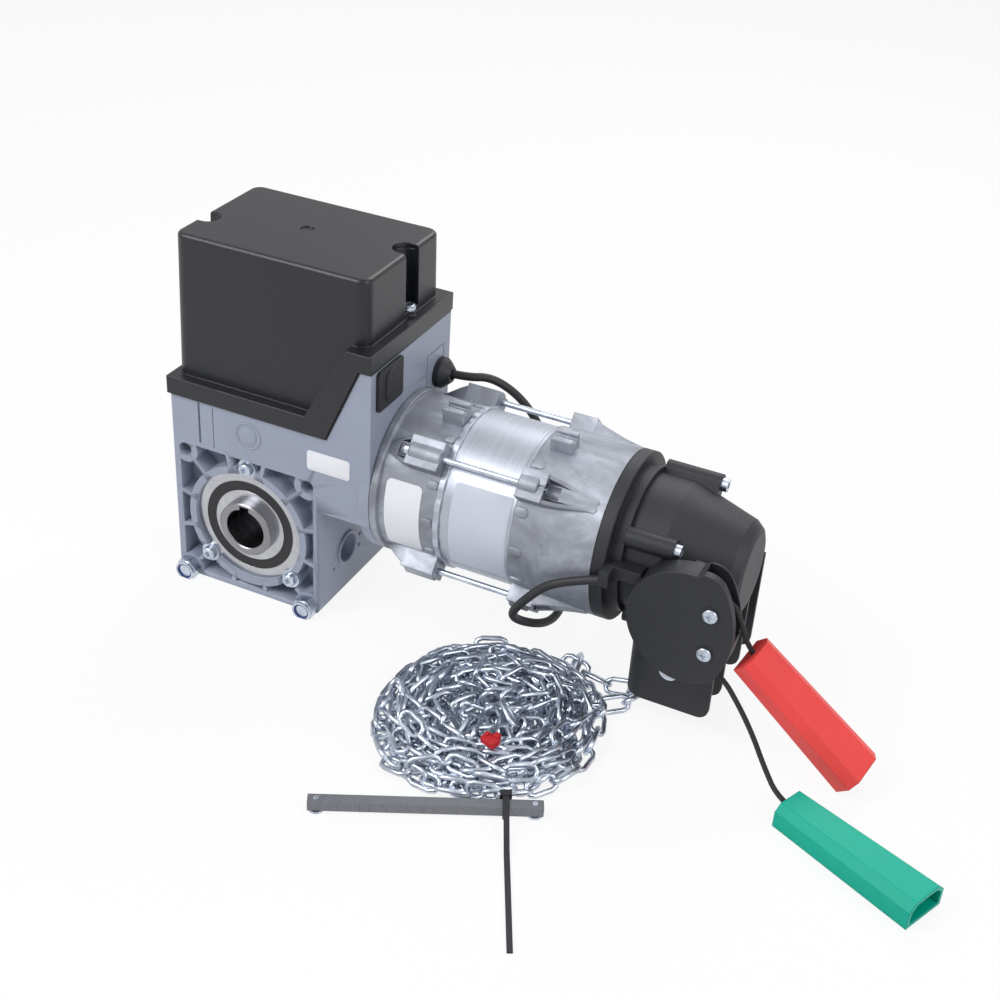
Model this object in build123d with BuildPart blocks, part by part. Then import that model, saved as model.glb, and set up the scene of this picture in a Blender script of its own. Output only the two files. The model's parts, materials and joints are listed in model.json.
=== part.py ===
from build123d import *
import math
import os

os.makedirs("parts", exist_ok=True)

# Industrial door operator: a worm gearbox with a hollow output shaft, a three-phase motor,
# a moulded control hood, and an emergency hand chain at the motor's end.
# Millimetres. The origin is on the output bore's axis, in the plane of the gearcase's front ribs.
# +X runs along the motor towards the chain unit, +Y into the gearcase, +Z up.

# Gearcase sizes
case_half_width = 49.3
case_drop = 46.4
case_depth = 94.0
flange_face_x = 82.3
overhang_z = 27.0
rim_low_z = 76.4
rim_high_z = 124.4
rim_knee_x = 54.6
rim_crest_x = 75.6
flange_plate = 6.3
case_wall = 4.0
tray_floor_z = 72.0
rib_count = 12
rib_width = 2.6
rib_depth = 12.0
boss_ring_radius = 40.5
frame_bar = 4.0
pocket_top_z = 46.0
hole_pitch = 83.0
corner_boss_radius = 8.5
mount_hole_radius = 4.25
blind_hole_depth = 22.0

# Output shaft and its bearings
bore_radius = 12.7
keyway_width = 6.35
keyway_depth = 2.9
shaft_radius = 17.5
shaft_stand_out = 3.0
bearing_outer_radius = 36.0
bearing_width = 17.0
bearing_recess = 2.8
outer_ring_wall = 6.2
inner_ring_wall = 6.0
ball_count = 9
seal_thickness = 1.2
running_gap = 0.05
seat_shoulder = 3.0

# Worm and wheel
module = 1.25
wheel_teeth = 56
wheel_width = 14.0
worm_pitch_radius = 8.0
worm_length = 30.0
pressure_angle = 20.0
tooth_root_gap = 0.25
flank_share = 0.42

# Motor
motor_y = 46.9
wheel_radius = module * wheel_teeth / 2
motor_z = wheel_radius + worm_pitch_radius
motor_radius = 47.6
casting_front_end_x = 122.4
casting_rear_start_x = 169.0
casting_rear_end_x = 217.0
casting_wall = 4.0
stator_radius = 46.8
rod_corner = 37.2
rod_radius = 1.75
lug_length = 20.0
lug_width = 17.0
lug_radius = 56.8
gusset_tip_width = 4.0
gusset_low_end = 0.5
rotor_radius = 28.0
rotor_length = 52.0
motor_shaft_radius = 7.5

# Chain unit
ring_radius = 48.7
ring_width = 7.4
shoulder_radius = 42.0
shoulder_end_x = 231.0
cover_radius = 38.7
cover_taper_x = 251.0
cover_end_x = 292.5
cover_end_radius = 24.0
cover_wall = 2.4
chain_wheel_x = 248.0
chain_pitch_radius = 27.0
chain_tube_radius = 5.0
chain_gap = 0.4
guide_depth = 22.0
guide_wall = 2.4
guide_bottom_z = -34.0
guide_right_x = 290.0
guide_top_z = 32.0
release_x = 273.2
release_z = 33.9
release_front_y = -6.0
release_depth = 14.5

# Hood
hood_top_z = 174.8
hood_wall = 2.6
hood_flange_low = 11.2
gasket_thickness = 1.0

# What lies on the floor
floor_z = -case_drop
handle_length = 87.0
handle_wall = 2.0
key_side = 6.35
key_length = 121.0


def front_plane(y):
    """A plane facing the viewer at depth y: local x is +X, local y is +Z."""
    return Plane(origin=(0, y, 0), x_dir=(1, 0, 0), z_dir=(0, -1, 0))


def motor_plane(x):
    """A plane across the motor's axis: local x is +Y, local y is +Z, centred on the axis."""
    return Plane(origin=(x, motor_y, motor_z), x_dir=(0, 1, 0), z_dir=(1, 0, 0))


def corner_plane(angle):
    """A plane holding the motor's axis: local x is +X, local y points out at the given angle."""
    a = math.radians(angle)
    return Plane(origin=(0, motor_y, motor_z), x_dir=(1, 0, 0), z_dir=(0, -math.sin(a), math.cos(a)))


def around_motor(radius, angle):
    """Local coordinates on a motor plane of a point at this radius and angle."""
    a = math.radians(angle)
    return (radius * math.cos(a), radius * math.sin(a))


motor_axis = Axis((0, motor_y, motor_z), (1, 0, 0))
output_axis = Axis((0, 0, 0), (0, 1, 0))
profile_plane = corner_plane(90)
corner_angles = (45, 135, 225, 315)
mid_y = case_depth / 2


def save(piece, name):
    """Label a finished piece and write it."""
    piece.part.label = name
    export_step(piece.part, "parts/" + name + ".step")


# Gearcase
chamber_radius = wheel_radius + module + 1.8
cover_hub_radius = bearing_outer_radius + 6.0
cover_plate = 9.0
cover_top_z = 50.0
cover_hub_y = case_depth - bearing_recess - bearing_width - 2.0
front_seat_end = bearing_recess + bearing_width
worm_tunnel_radius = 12.0
end_bearing_radius = 14.0
end_bearing_x = -41.0
end_bearing_width = 8.0
motor_bearing_radius = 23.5
motor_bearing_width = 14.0
case_bearing_x = 60.0
screw_circle = 40.0
retainer_angles = (90, 225, 315)
retainer_boss_radius = 6.5
hood_screw_places = ((-41.0, 35.6), (73.6, 57.0))
hood_pillar_radius = 5.5
side_port = (32.2, -16.0)
side_port_radius = 9.0
side_port_depth = 14.0
plug_centre = (19.5, 111.5)
plug_width = 28.0
plug_height = 24.5
gland_place = (81.4, 90.7)
gland_thread_radius = 7.0

with BuildPart() as gear_housing:
    with BuildSketch(front_plane(0)):
        with BuildLine():
            Polyline(
                (-case_half_width, -case_drop),
                (case_half_width, -case_drop),
                (case_half_width, overhang_z),
                (flange_face_x, overhang_z),
                (flange_face_x, rim_high_z),
                (rim_crest_x, rim_high_z),
                (rim_knee_x, rim_low_z),
                (-case_half_width, rim_low_z),
                close=True,
            )
        make_face()
    extrude(amount=-case_depth)
    fillet(gear_housing.edges().filter_by(Axis.Y).group_by(Axis.Z)[0], radius=4)
    # The round motor flange and the neck that carries it
    with BuildSketch(motor_plane(flange_face_x)):
        Circle(motor_radius + 0.8)
    extrude(amount=-flange_plate)
    with BuildSketch(motor_plane(case_half_width - 1)):
        Circle(motor_bearing_radius + 10)
    extrude(amount=flange_face_x - flange_plate - case_half_width + 2)
    # Terminal tray, open at the top
    with BuildSketch(front_plane(case_wall)):
        with BuildLine():
            Polyline(
                (-case_half_width + case_wall, tray_floor_z),
                (flange_face_x - case_wall, tray_floor_z),
                (flange_face_x - case_wall, rim_high_z + 2),
                (-case_half_width + case_wall, rim_high_z + 2),
                close=True,
            )
        make_face()
    extrude(amount=-(case_depth - 2 * case_wall), mode=Mode.SUBTRACT)
    # Pillars for the two hood screws
    for (px, py), top in zip(hood_screw_places, (rim_low_z, rim_high_z)):
        with BuildSketch(Plane.XY.offset(tray_floor_z - 1)):
            with Locations((px, py)):
                Circle(hood_pillar_radius)
        extrude(amount=top - tray_floor_z + 1)
        with BuildSketch(Plane.XY.offset(top)):
            with Locations((px, py)):
                Circle(2.1)
        extrude(amount=-22, mode=Mode.SUBTRACT)
    # Wheel chamber, front bearing seat and the rear cover's opening
    with BuildSketch(front_plane(front_seat_end + seat_shoulder)):
        Circle(chamber_radius)
    extrude(amount=-(case_depth - front_seat_end - seat_shoulder), mode=Mode.SUBTRACT)
    with BuildSketch(front_plane(0)):
        Circle(bearing_outer_radius)
    extrude(amount=-front_seat_end, mode=Mode.SUBTRACT)
    with BuildSketch(front_plane(0)):
        Circle(bearing_outer_radius - 3)
    extrude(amount=-(front_seat_end + seat_shoulder + 1), mode=Mode.SUBTRACT)
    with BuildSketch(front_plane(case_depth)):
        Circle(cover_hub_radius)
    extrude(amount=case_depth - cover_hub_y, mode=Mode.SUBTRACT)
    with BuildSketch(front_plane(case_depth)):
        with Locations((0, (cover_top_z - case_drop) / 2)):
            Rectangle(2 * case_half_width, cover_top_z + case_drop)
    extrude(amount=cover_plate, mode=Mode.SUBTRACT)
    # Worm tunnel with a bearing seat at each end
    with BuildSketch(motor_plane(end_bearing_x)):
        Circle(worm_tunnel_radius)
    extrude(amount=flange_face_x - end_bearing_x + 1, mode=Mode.SUBTRACT)
    with BuildSketch(motor_plane(-case_half_width)):
        Circle(end_bearing_radius)
    extrude(amount=case_half_width + end_bearing_x + end_bearing_width, mode=Mode.SUBTRACT)
    with BuildSketch(motor_plane(flange_face_x)):
        Circle(motor_bearing_radius)
    extrude(amount=-(flange_face_x - case_bearing_x), mode=Mode.SUBTRACT)
    with BuildSketch(motor_plane(flange_face_x)):
        Circle(motor_bearing_radius + 2)
    extrude(amount=-(flange_face_x - case_bearing_x - motor_bearing_width), mode=Mode.SUBTRACT)
    # Pockets between the boss ring, the ribs and the square frame
    with BuildSketch(front_plane(0)):
        with Locations((0, (pocket_top_z - case_drop + frame_bar) / 2)):
            Rectangle(2 * (case_half_width - frame_bar), pocket_top_z + case_drop - frame_bar)
        Circle(boss_ring_radius, mode=Mode.SUBTRACT)
        with PolarLocations(0, rib_count, start_angle=180 / rib_count):
            with Locations((55, 0)):
                Rectangle(40, rib_width, mode=Mode.SUBTRACT)
        with GridLocations(hole_pitch, hole_pitch, 2, 2):
            Circle(corner_boss_radius, mode=Mode.SUBTRACT)
        for angle in retainer_angles:
            a = math.radians(angle)
            with Locations((screw_circle * math.cos(a), screw_circle * math.sin(a))):
                Circle(retainer_boss_radius, mode=Mode.SUBTRACT)
    extrude(amount=-rib_depth, mode=Mode.SUBTRACT)
    # Lower corner holes right through, upper ones blind from both faces
    with BuildSketch(front_plane(0)):
        with Locations((-hole_pitch / 2, -hole_pitch / 2), (hole_pitch / 2, -hole_pitch / 2)):
            Circle(mount_hole_radius)
    extrude(amount=-case_depth, mode=Mode.SUBTRACT)
    with BuildSketch(front_plane(0)):
        with Locations((-hole_pitch / 2, hole_pitch / 2), (hole_pitch / 2, hole_pitch / 2)):
            Circle(mount_hole_radius)
    extrude(amount=-blind_hole_depth, mode=Mode.SUBTRACT)
    with BuildSketch(front_plane(case_depth)):
        with Locations((-hole_pitch / 2, hole_pitch / 2), (hole_pitch / 2, hole_pitch / 2)):
            Circle(mount_hole_radius)
    extrude(amount=blind_hole_depth, mode=Mode.SUBTRACT)
    # Spot faces and tapped holes for the bearing's three screws
    with BuildSketch(front_plane(0)):
        for angle in retainer_angles:
            a = math.radians(angle)
            with Locations((screw_circle * math.cos(a), screw_circle * math.sin(a))):
                Circle(retainer_boss_radius)
    extrude(amount=-bearing_recess, mode=Mode.SUBTRACT)
    with BuildSketch(front_plane(0)):
        for angle in retainer_angles:
            a = math.radians(angle)
            with Locations((screw_circle * math.cos(a), screw_circle * math.sin(a))):
                Circle(2.0)
    extrude(amount=-14, mode=Mode.SUBTRACT)
    # Openings in the motor side: square knock-out, cable entry and the round side port
    with BuildSketch(Plane.YZ.offset(flange_face_x)):
        with Locations(plug_centre):
            Rectangle(plug_width - 6, plug_height - 6)
        with Locations(gland_place):
            Circle(gland_thread_radius)
    extrude(amount=-case_wall - 1, mode=Mode.SUBTRACT)
    with BuildSketch(Plane.YZ.offset(case_half_width)):
        with Locations(side_port):
            Circle(side_port_radius + 2)
    extrude(amount=0.8)
    with BuildSketch(Plane.YZ.offset(case_half_width + 0.8)):
        with Locations(side_port):
            Circle(side_port_radius - 1)
    extrude(amount=-3.5, mode=Mode.SUBTRACT)
save(gear_housing, "gear_housing")

# Rear cover of the gearcase, with the rear bearing's seat
with BuildPart() as rear_cover:
    with BuildSketch(front_plane(case_depth)):
        with Locations((0, (cover_top_z - case_drop) / 2)):
            RectangleRounded(2 * case_half_width, cover_top_z + case_drop, 4)
    extrude(amount=cover_plate)
    with BuildSketch(front_plane(case_depth)):
        Circle(cover_hub_radius - running_gap)
    extrude(amount=case_depth - cover_hub_y)
    with BuildSketch(front_plane(case_depth)):
        Circle(bearing_outer_radius)
    extrude(amount=front_seat_end, mode=Mode.SUBTRACT)
    with BuildSketch(front_plane(case_depth)):
        Circle(bearing_outer_radius - 3)
    extrude(amount=case_depth - cover_hub_y + 1, mode=Mode.SUBTRACT)
    with BuildSketch(front_plane(case_depth)):
        with GridLocations(hole_pitch, hole_pitch, 2, 2):
            Circle(mount_hole_radius)
    extrude(amount=cover_plate, mode=Mode.SUBTRACT)
save(rear_cover, "rear_cover")

# Hollow output shaft with a collar for the wheel
shaft_end_y = case_depth + shaft_stand_out
collar_end_y = motor_y - 10.0
wheel_seat_radius = 19.0
collar_radius = 23.0
with BuildPart() as hollow_shaft:
    with BuildSketch(Plane.XY):
        with BuildLine():
            Polyline(
                (bore_radius, -shaft_stand_out),
                (shaft_radius, -shaft_stand_out),
                (shaft_radius, front_seat_end),
                (collar_radius, front_seat_end),
                (collar_radius, collar_end_y),
                (wheel_seat_radius, collar_end_y),
                (wheel_seat_radius, case_depth - front_seat_end),
                (shaft_radius, case_depth - front_seat_end),
                (shaft_radius, shaft_end_y),
                (bore_radius, shaft_end_y),
                close=True,
            )
        make_face()
    revolve(axis=output_axis)
    chamfer(hollow_shaft.edges().filter_by(GeomType.CIRCLE).group_by(Axis.Y)[0], length=0.7)
    chamfer(hollow_shaft.edges().filter_by(GeomType.CIRCLE).group_by(Axis.Y)[-1], length=0.7)
    with BuildSketch(front_plane(-shaft_stand_out)):
        with Locations((0, bore_radius)):
            Rectangle(keyway_width, 2 * keyway_depth)
    extrude(amount=-(shaft_end_y + shaft_stand_out), mode=Mode.SUBTRACT)
    # Seat for the wheel's own key, opposite the bore's keyway
    with BuildSketch(front_plane(collar_end_y)):
        with Locations((0, -wheel_seat_radius)):
            Rectangle(6, 6)
    extrude(amount=-20, mode=Mode.SUBTRACT)
save(hollow_shaft, "hollow_shaft")

with BuildPart() as wheel_key:
    with BuildSketch(front_plane(collar_end_y)):
        with Locations((0, -wheel_seat_radius)):
            Rectangle(6, 6)
    extrude(amount=-20)
save(wheel_key, "wheel_key")

# Worm wheel: straight teeth set at the worm's lead angle, a gap at the top over the worm's thread
axial_pitch = math.pi * module
lead_angle = math.degrees(math.atan(axial_pitch / (2 * math.pi * worm_pitch_radius)))
flank = math.tan(math.radians(pressure_angle))
wheel_tip = wheel_radius + module
wheel_root = wheel_radius - module - tooth_root_gap
tooth_half = flank_share * axial_pitch / 2
lead = math.radians(lead_angle)
half_step = math.radians(180 / wheel_teeth)
tooth_plane = Plane(
    origin=(0, motor_y, 0),
    x_dir=(math.cos(lead), -math.sin(lead), 0),
    z_dir=(-math.sin(lead), -math.cos(lead), 0),
)
with BuildPart() as wheel_tooth:
    with BuildSketch(tooth_plane):
        with BuildLine():
            Polyline(
                (-tooth_half - 2.2 * flank, wheel_radius - 2.2),
                (-tooth_half + module * flank, wheel_tip),
                (tooth_half - module * flank, wheel_tip),
                (tooth_half + 2.2 * flank, wheel_radius - 2.2),
                close=True,
            )
        make_face()
    extrude(amount=wheel_width / 2, both=True)
with BuildPart() as worm_wheel:
    with BuildSketch(front_plane(motor_y - wheel_width / 2)):
        Circle(wheel_root)
    extrude(amount=-wheel_width)
    with BuildSketch(front_plane(motor_y - wheel_width / 2)):
        Circle(wheel_root - 4)
        Circle(collar_radius + 3, mode=Mode.SUBTRACT)
    extrude(amount=-3.5, mode=Mode.SUBTRACT)
    with BuildSketch(front_plane(motor_y + wheel_width / 2)):
        Circle(wheel_root - 4)
        Circle(collar_radius + 3, mode=Mode.SUBTRACT)
    extrude(amount=3.5, mode=Mode.SUBTRACT)
    with BuildSketch(front_plane(collar_end_y)):
        Circle(collar_radius + 2)
    extrude(amount=-20)
    for step in range(wheel_teeth):
        add(wheel_tooth.part.rotate(output_axis, 360 / wheel_teeth * (step + 0.5)))
    with BuildSketch(front_plane(collar_end_y)):
        Circle(wheel_seat_radius)
        with Locations((0, -wheel_seat_radius)):
            Rectangle(6, 6)
    extrude(amount=-20, mode=Mode.SUBTRACT)
save(worm_wheel, "worm_wheel")

# Output bearings: rings, balls and seals
race_inner = shaft_radius + inner_ring_wall
race_outer = bearing_outer_radius - outer_ring_wall
bearing_fronts = (bearing_recess, case_depth - bearing_recess - bearing_width)
with BuildPart() as output_bearing_outer_rings:
    for y in bearing_fronts:
        with BuildSketch(front_plane(y)):
            Circle(bearing_outer_radius)
            Circle(race_outer, mode=Mode.SUBTRACT)
        extrude(amount=-bearing_width)
save(output_bearing_outer_rings, "output_bearing_outer_rings")

with BuildPart() as output_bearing_inner_rings:
    for y in bearing_fronts:
        with BuildSketch(front_plane(y)):
            Circle(race_inner)
            Circle(shaft_radius, mode=Mode.SUBTRACT)
        extrude(amount=-bearing_width)
save(output_bearing_inner_rings, "output_bearing_inner_rings")

with BuildPart() as output_bearing_seals:
    for y in bearing_fronts:
        for near in (0.3, bearing_width - seal_thickness - 0.3):
            with BuildSketch(front_plane(y + near)):
                Circle(race_outer)
                Circle(race_inner + running_gap, mode=Mode.SUBTRACT)
            extrude(amount=-seal_thickness)
save(output_bearing_seals, "output_bearing_seals")

# Three screws with washers hold the front bearing in
with BuildPart() as bearing_washers:
    with BuildSketch(front_plane(bearing_recess)):
        for angle in retainer_angles:
            a = math.radians(angle)
            with Locations((screw_circle * math.cos(a), screw_circle * math.sin(a))):
                Circle(6.0)
                Circle(2.0, mode=Mode.SUBTRACT)
    extrude(amount=1.2)
save(bearing_washers, "bearing_washers")

with BuildPart() as bearing_screws:
    for angle in retainer_angles:
        a = math.radians(angle)
        place = (screw_circle * math.cos(a), screw_circle * math.sin(a))
        with BuildSketch(front_plane(bearing_recess - 1.2)):
            with Locations(place):
                Circle(4.0)
        extrude(amount=2.8)
        with BuildSketch(front_plane(bearing_recess - 4.0)):
            with Locations(place):
                RegularPolygon(1.6, 6)
        extrude(amount=-1.8, mode=Mode.SUBTRACT)
        with BuildSketch(front_plane(bearing_recess - 1.2)):
            with Locations(place):
                Circle(2.0)
        extrude(amount=-12)
save(bearing_screws, "bearing_screws")

# Two bolts right through the lower corners, with nuts in front
nut_height = 6.5
nut_collar_radius = 6.1
nut_collar_height = 1.8
insert_radius = 4.9
insert_height = 1.3
bolt_places = ((-hole_pitch / 2, -hole_pitch / 2), (hole_pitch / 2, -hole_pitch / 2))
with BuildPart() as through_bolts:
    with BuildSketch(front_plane(case_depth)):
        with Locations(*bolt_places):
            RegularPolygon(7.4, 6)
    extrude(amount=-5.3)
    with BuildSketch(front_plane(case_depth)):
        with Locations(*bolt_places):
            Circle(4.0)
    extrude(amount=case_depth + nut_height + 0.8)
save(through_bolts, "through_bolts")

with BuildPart() as lock_nuts:
    with BuildSketch(front_plane(0)):
        with Locations(*bolt_places):
            RegularPolygon(7.4, 6, rotation=12)
            Circle(4.0, mode=Mode.SUBTRACT)
    extrude(amount=nut_height)
    with BuildSketch(front_plane(-nut_height)):
        with Locations(*bolt_places):
            Circle(nut_collar_radius)
            Circle(insert_radius + 0.05, mode=Mode.SUBTRACT)
    extrude(amount=nut_collar_height)
save(lock_nuts, "lock_nuts")

with BuildPart() as nut_inserts:
    with BuildSketch(front_plane(-nut_height)):
        with Locations(*bolt_places):
            Circle(insert_radius)
            Circle(4.0, mode=Mode.SUBTRACT)
    extrude(amount=insert_height)
save(nut_inserts, "nut_inserts")

with BuildPart() as rear_cover_screws:
    with BuildSketch(front_plane(case_depth)):
        with Locations((-hole_pitch / 2, hole_pitch / 2), (hole_pitch / 2, hole_pitch / 2)):
            Circle(6.5)
    extrude(amount=-6)
    with BuildSketch(front_plane(case_depth + 6)):
        with Locations((-hole_pitch / 2, hole_pitch / 2), (hole_pitch / 2, hole_pitch / 2)):
            RegularPolygon(3.2, 6)
    extrude(amount=3.5, mode=Mode.SUBTRACT)
    with BuildSketch(front_plane(case_depth)):
        with Locations((-hole_pitch / 2, hole_pitch / 2), (hole_pitch / 2, hole_pitch / 2)):
            Circle(4.0)
    extrude(amount=blind_hole_depth - 3)
save(rear_cover_screws, "rear_cover_screws")

# Rubber knock-out plug with a raised oval
with BuildPart() as square_plug:
    with BuildSketch(Plane.YZ.offset(flange_face_x)):
        with Locations(plug_centre):
            RectangleRounded(plug_width, plug_height, 2.5)
    extrude(amount=1.8)
    with BuildSketch(Plane.YZ.offset(flange_face_x + 1.8)):
        with Locations(plug_centre):
            SlotOverall(19, 12, rotation=90)
    extrude(amount=0.8)
    fillet(square_plug.faces().sort_by(Axis.X)[-1].edges(), radius=0.5)
    with BuildSketch(Plane.YZ.offset(flange_face_x)):
        with Locations(plug_centre):
            Rectangle(plug_width - 6, plug_height - 6)
    extrude(amount=-case_wall - 1.5)
save(square_plug, "square_plug")

# Cable gland with its lock nut inside the case
cable_radius = 2.5
with BuildPart() as cable_gland:
    with BuildSketch(Plane.XY.offset(gland_place[1])):
        with BuildLine():
            Polyline(
                (flange_face_x - case_wall, gland_place[0] + cable_radius),
                (flange_face_x - case_wall, gland_place[0] + gland_thread_radius),
                (flange_face_x, gland_place[0] + gland_thread_radius),
                (flange_face_x, gland_place[0] + 9.2),
                (flange_face_x + 3.5, gland_place[0] + 9.2),
                (flange_face_x + 5.5, gland_place[0] + 7.8),
                (flange_face_x + 9, gland_place[0] + 4.6),
                (flange_face_x + 9, gland_place[0] + cable_radius + 0.5),
                (flange_face_x + 3, gland_place[0] + cable_radius),
                close=True,
            )
        make_face()
    revolve(axis=Axis((0, gland_place[0], gland_place[1]), (1, 0, 0)))
save(cable_gland, "cable_gland")

# Cap over the worm's left end
with BuildPart() as worm_end_cap:
    with BuildSketch(motor_plane(-case_half_width + 0.5)):
        Circle(end_bearing_radius)
    extrude(amount=3.0)
save(worm_end_cap, "worm_end_cap")

# Motor bearings
rear_bearing_x = 205.0
rear_bearing_width = 11.0
rear_bearing_radius = 17.5
rear_journal_radius = 7.5
case_journal_radius = 10.0
end_journal_radius = 6.0
motor_bearings = (
    (end_bearing_x, end_bearing_width, end_bearing_radius, end_journal_radius),
    (case_bearing_x, motor_bearing_width, motor_bearing_radius, case_journal_radius),
    (rear_bearing_x, rear_bearing_width, rear_bearing_radius, rear_journal_radius),
)
with BuildPart() as motor_bearing_outer_rings:
    for x, width, outer, inner in motor_bearings:
        with BuildSketch(motor_plane(x)):
            Circle(outer)
            Circle(outer - (outer - inner) * 0.35, mode=Mode.SUBTRACT)
        extrude(amount=width)
save(motor_bearing_outer_rings, "motor_bearing_outer_rings")

with BuildPart() as motor_bearing_inner_rings:
    for x, width, outer, inner in motor_bearings:
        with BuildSketch(motor_plane(x)):
            Circle(inner + (outer - inner) * 0.35)
            Circle(inner, mode=Mode.SUBTRACT)
        extrude(amount=width)
save(motor_bearing_inner_rings, "motor_bearing_inner_rings")

# Clutch and chain wheel positions along the motor's axis
crank_radius = motor_z - release_z
release_travel = 40.0
crank_swing = crank_radius * math.sin(math.radians(release_travel / 2))
clutch_width = 8.0
clutch_rest_x = release_x + crank_swing
clutch_air = 0.15
hub_end_x = clutch_rest_x - 2 * crank_swing - clutch_width / 2 - clutch_air
hub_start_x = chain_wheel_x - 7.5
sleeve_radius = 11.0
spline_radius = 7.0
shaft_tip_x = 284.0

# Motor shaft, turned in one piece with the worm
worm_root = worm_pitch_radius - module - tooth_root_gap
worm_tip = worm_pitch_radius + module
thread_half = axial_pitch / 2 - tooth_half - 0.45
with BuildPart() as worm_thread:
    with BuildLine() as thread_path:
        Helix(
            pitch=axial_pitch,
            height=8 * axial_pitch,
            radius=worm_pitch_radius,
            center=(-4 * axial_pitch, motor_y, motor_z),
            direction=(1, 0, 0),
        )
    start = thread_path.line @ 0
    start_angle = math.atan2(start.Z - motor_z, start.Y - motor_y)
    radial = Vector(0, math.cos(start_angle), math.sin(start_angle))
    heading = thread_path.line % 0
    across = radial.cross(heading)
    with BuildSketch(Plane(origin=start, x_dir=radial, z_dir=heading)):
        with BuildLine():
            Polyline(
                (-1.9, -thread_half - 1.9 * flank),
                (module, -thread_half + module * flank),
                (module, thread_half - module * flank),
                (-1.9, thread_half + 1.9 * flank),
                close=True,
            )
        make_face()
    sweep(path=thread_path.line, is_frenet=True)
thread_turn = -90 - math.degrees(start_angle)

with BuildPart() as motor_shaft:
    with BuildSketch(profile_plane):
        with BuildLine():
            Polyline(
                (end_bearing_x, 0),
                (end_bearing_x, end_journal_radius),
                (end_bearing_x + end_bearing_width, end_journal_radius),
                (end_bearing_x + end_bearing_width, worm_root),
                (22, worm_root),
                (26, case_journal_radius),
                (case_bearing_x - 5, case_journal_radius),
                (case_bearing_x - 5, case_journal_radius + 1.5),
                (case_bearing_x, case_journal_radius + 1.5),
                (case_bearing_x, case_journal_radius),
                (112, case_journal_radius),
                (112, case_journal_radius + 1),
                (190, case_journal_radius + 1),
                (rear_bearing_x, case_journal_radius),
                (rear_bearing_x, rear_journal_radius),
                (rear_bearing_x + rear_bearing_width, rear_journal_radius),
                (rear_bearing_x + rear_bearing_width, spline_radius),
                (shaft_tip_x, spline_radius),
                (shaft_tip_x, 0),
                close=True,
            )
        make_face()
    revolve(axis=motor_axis)
    chamfer(motor_shaft.faces().sort_by(Axis.X)[-1].edges(), length=1)
    add(worm_thread.part.rotate(motor_axis, thread_turn))
save(motor_shaft, "motor_shaft")

# Rotor: laminated core with cast end rings
rotor_start_x = 146.0 - rotor_length / 2
with BuildPart() as rotor_core:
    with BuildSketch(motor_plane(rotor_start_x)):
        Circle(rotor_radius)
        Circle(case_journal_radius + 1, mode=Mode.SUBTRACT)
    extrude(amount=rotor_length)
    with BuildSketch(motor_plane(rotor_start_x - 5)):
        Circle(rotor_radius - 2)
        Circle(rotor_radius - 9, mode=Mode.SUBTRACT)
    extrude(amount=rotor_length + 10)
save(rotor_core, "rotor_core")

# Stator: laminated core, windings and the drawn shell
core_radius = stator_radius - 2.2
with BuildPart() as stator_core:
    with BuildSketch(motor_plane(rotor_start_x)):
        Circle(core_radius)
        Circle(rotor_radius + 0.4, mode=Mode.SUBTRACT)
    extrude(amount=rotor_length)
save(stator_core, "stator_core")

with BuildPart() as stator_windings:
    for x in (rotor_start_x - 8, rotor_start_x + rotor_length):
        with BuildSketch(motor_plane(x)):
            Circle(core_radius - 2.5)
            Circle(rotor_radius + 2.5, mode=Mode.SUBTRACT)
        extrude(amount=8)
save(stator_windings, "stator_windings")

with BuildPart() as stator_shell:
    with BuildSketch(motor_plane(casting_front_end_x)):
        Circle(stator_radius)
        Circle(core_radius, mode=Mode.SUBTRACT)
    extrude(amount=casting_rear_start_x - casting_front_end_x)
save(stator_shell, "stator_shell")

# Front motor casting: a barrel with four corner lugs, each carried by a gusset
front_rim_width = 5.0
lug_root = core_radius + 0.9
with BuildPart() as front_casting:
    with BuildSketch(profile_plane):
        with BuildLine():
            Polyline(
                (flange_face_x, 14),
                (flange_face_x, motor_radius),
                (flange_face_x + front_rim_width, motor_radius),
                (flange_face_x + front_rim_width, motor_radius - 1),
                (casting_front_end_x, motor_radius - 1),
                (casting_front_end_x, core_radius),
                (flange_face_x + 5, core_radius),
                (flange_face_x + 5, 14),
                close=True,
            )
        make_face()
    revolve(axis=motor_axis)
    for angle in corner_angles:
        with BuildSketch(corner_plane(angle)):
            with BuildLine():
                Polyline(
                    (casting_front_end_x - lug_length, lug_root),
                    (casting_front_end_x - lug_length, lug_radius),
                    (casting_front_end_x, lug_radius),
                    (casting_front_end_x, lug_root),
                    close=True,
                )
            make_face()
        extrude(amount=lug_width / 2, both=True)
        with BuildSketch(corner_plane(angle)):
            with BuildLine():
                Polyline(
                    (flange_face_x + front_rim_width, lug_root),
                    (flange_face_x + front_rim_width, motor_radius - 1 + gusset_low_end),
                    (casting_front_end_x - lug_length, lug_radius - 3),
                    (casting_front_end_x - lug_length, lug_root),
                    close=True,
                )
            make_face()
        extrude(amount=gusset_tip_width, both=True)
    with BuildSketch(motor_plane(casting_front_end_x)):
        with GridLocations(2 * rod_corner, 2 * rod_corner, 2, 2):
            Circle(rod_radius + 0.1)
    extrude(amount=-lug_length, mode=Mode.SUBTRACT)
    # Room for the rods' heads in the gussets
    with BuildSketch(motor_plane(casting_front_end_x - lug_length)):
        with GridLocations(2 * rod_corner, 2 * rod_corner, 2, 2):
            Circle(gusset_tip_width + 0.3)
    extrude(amount=-8, mode=Mode.SUBTRACT)
save(front_casting, "front_casting")

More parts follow.
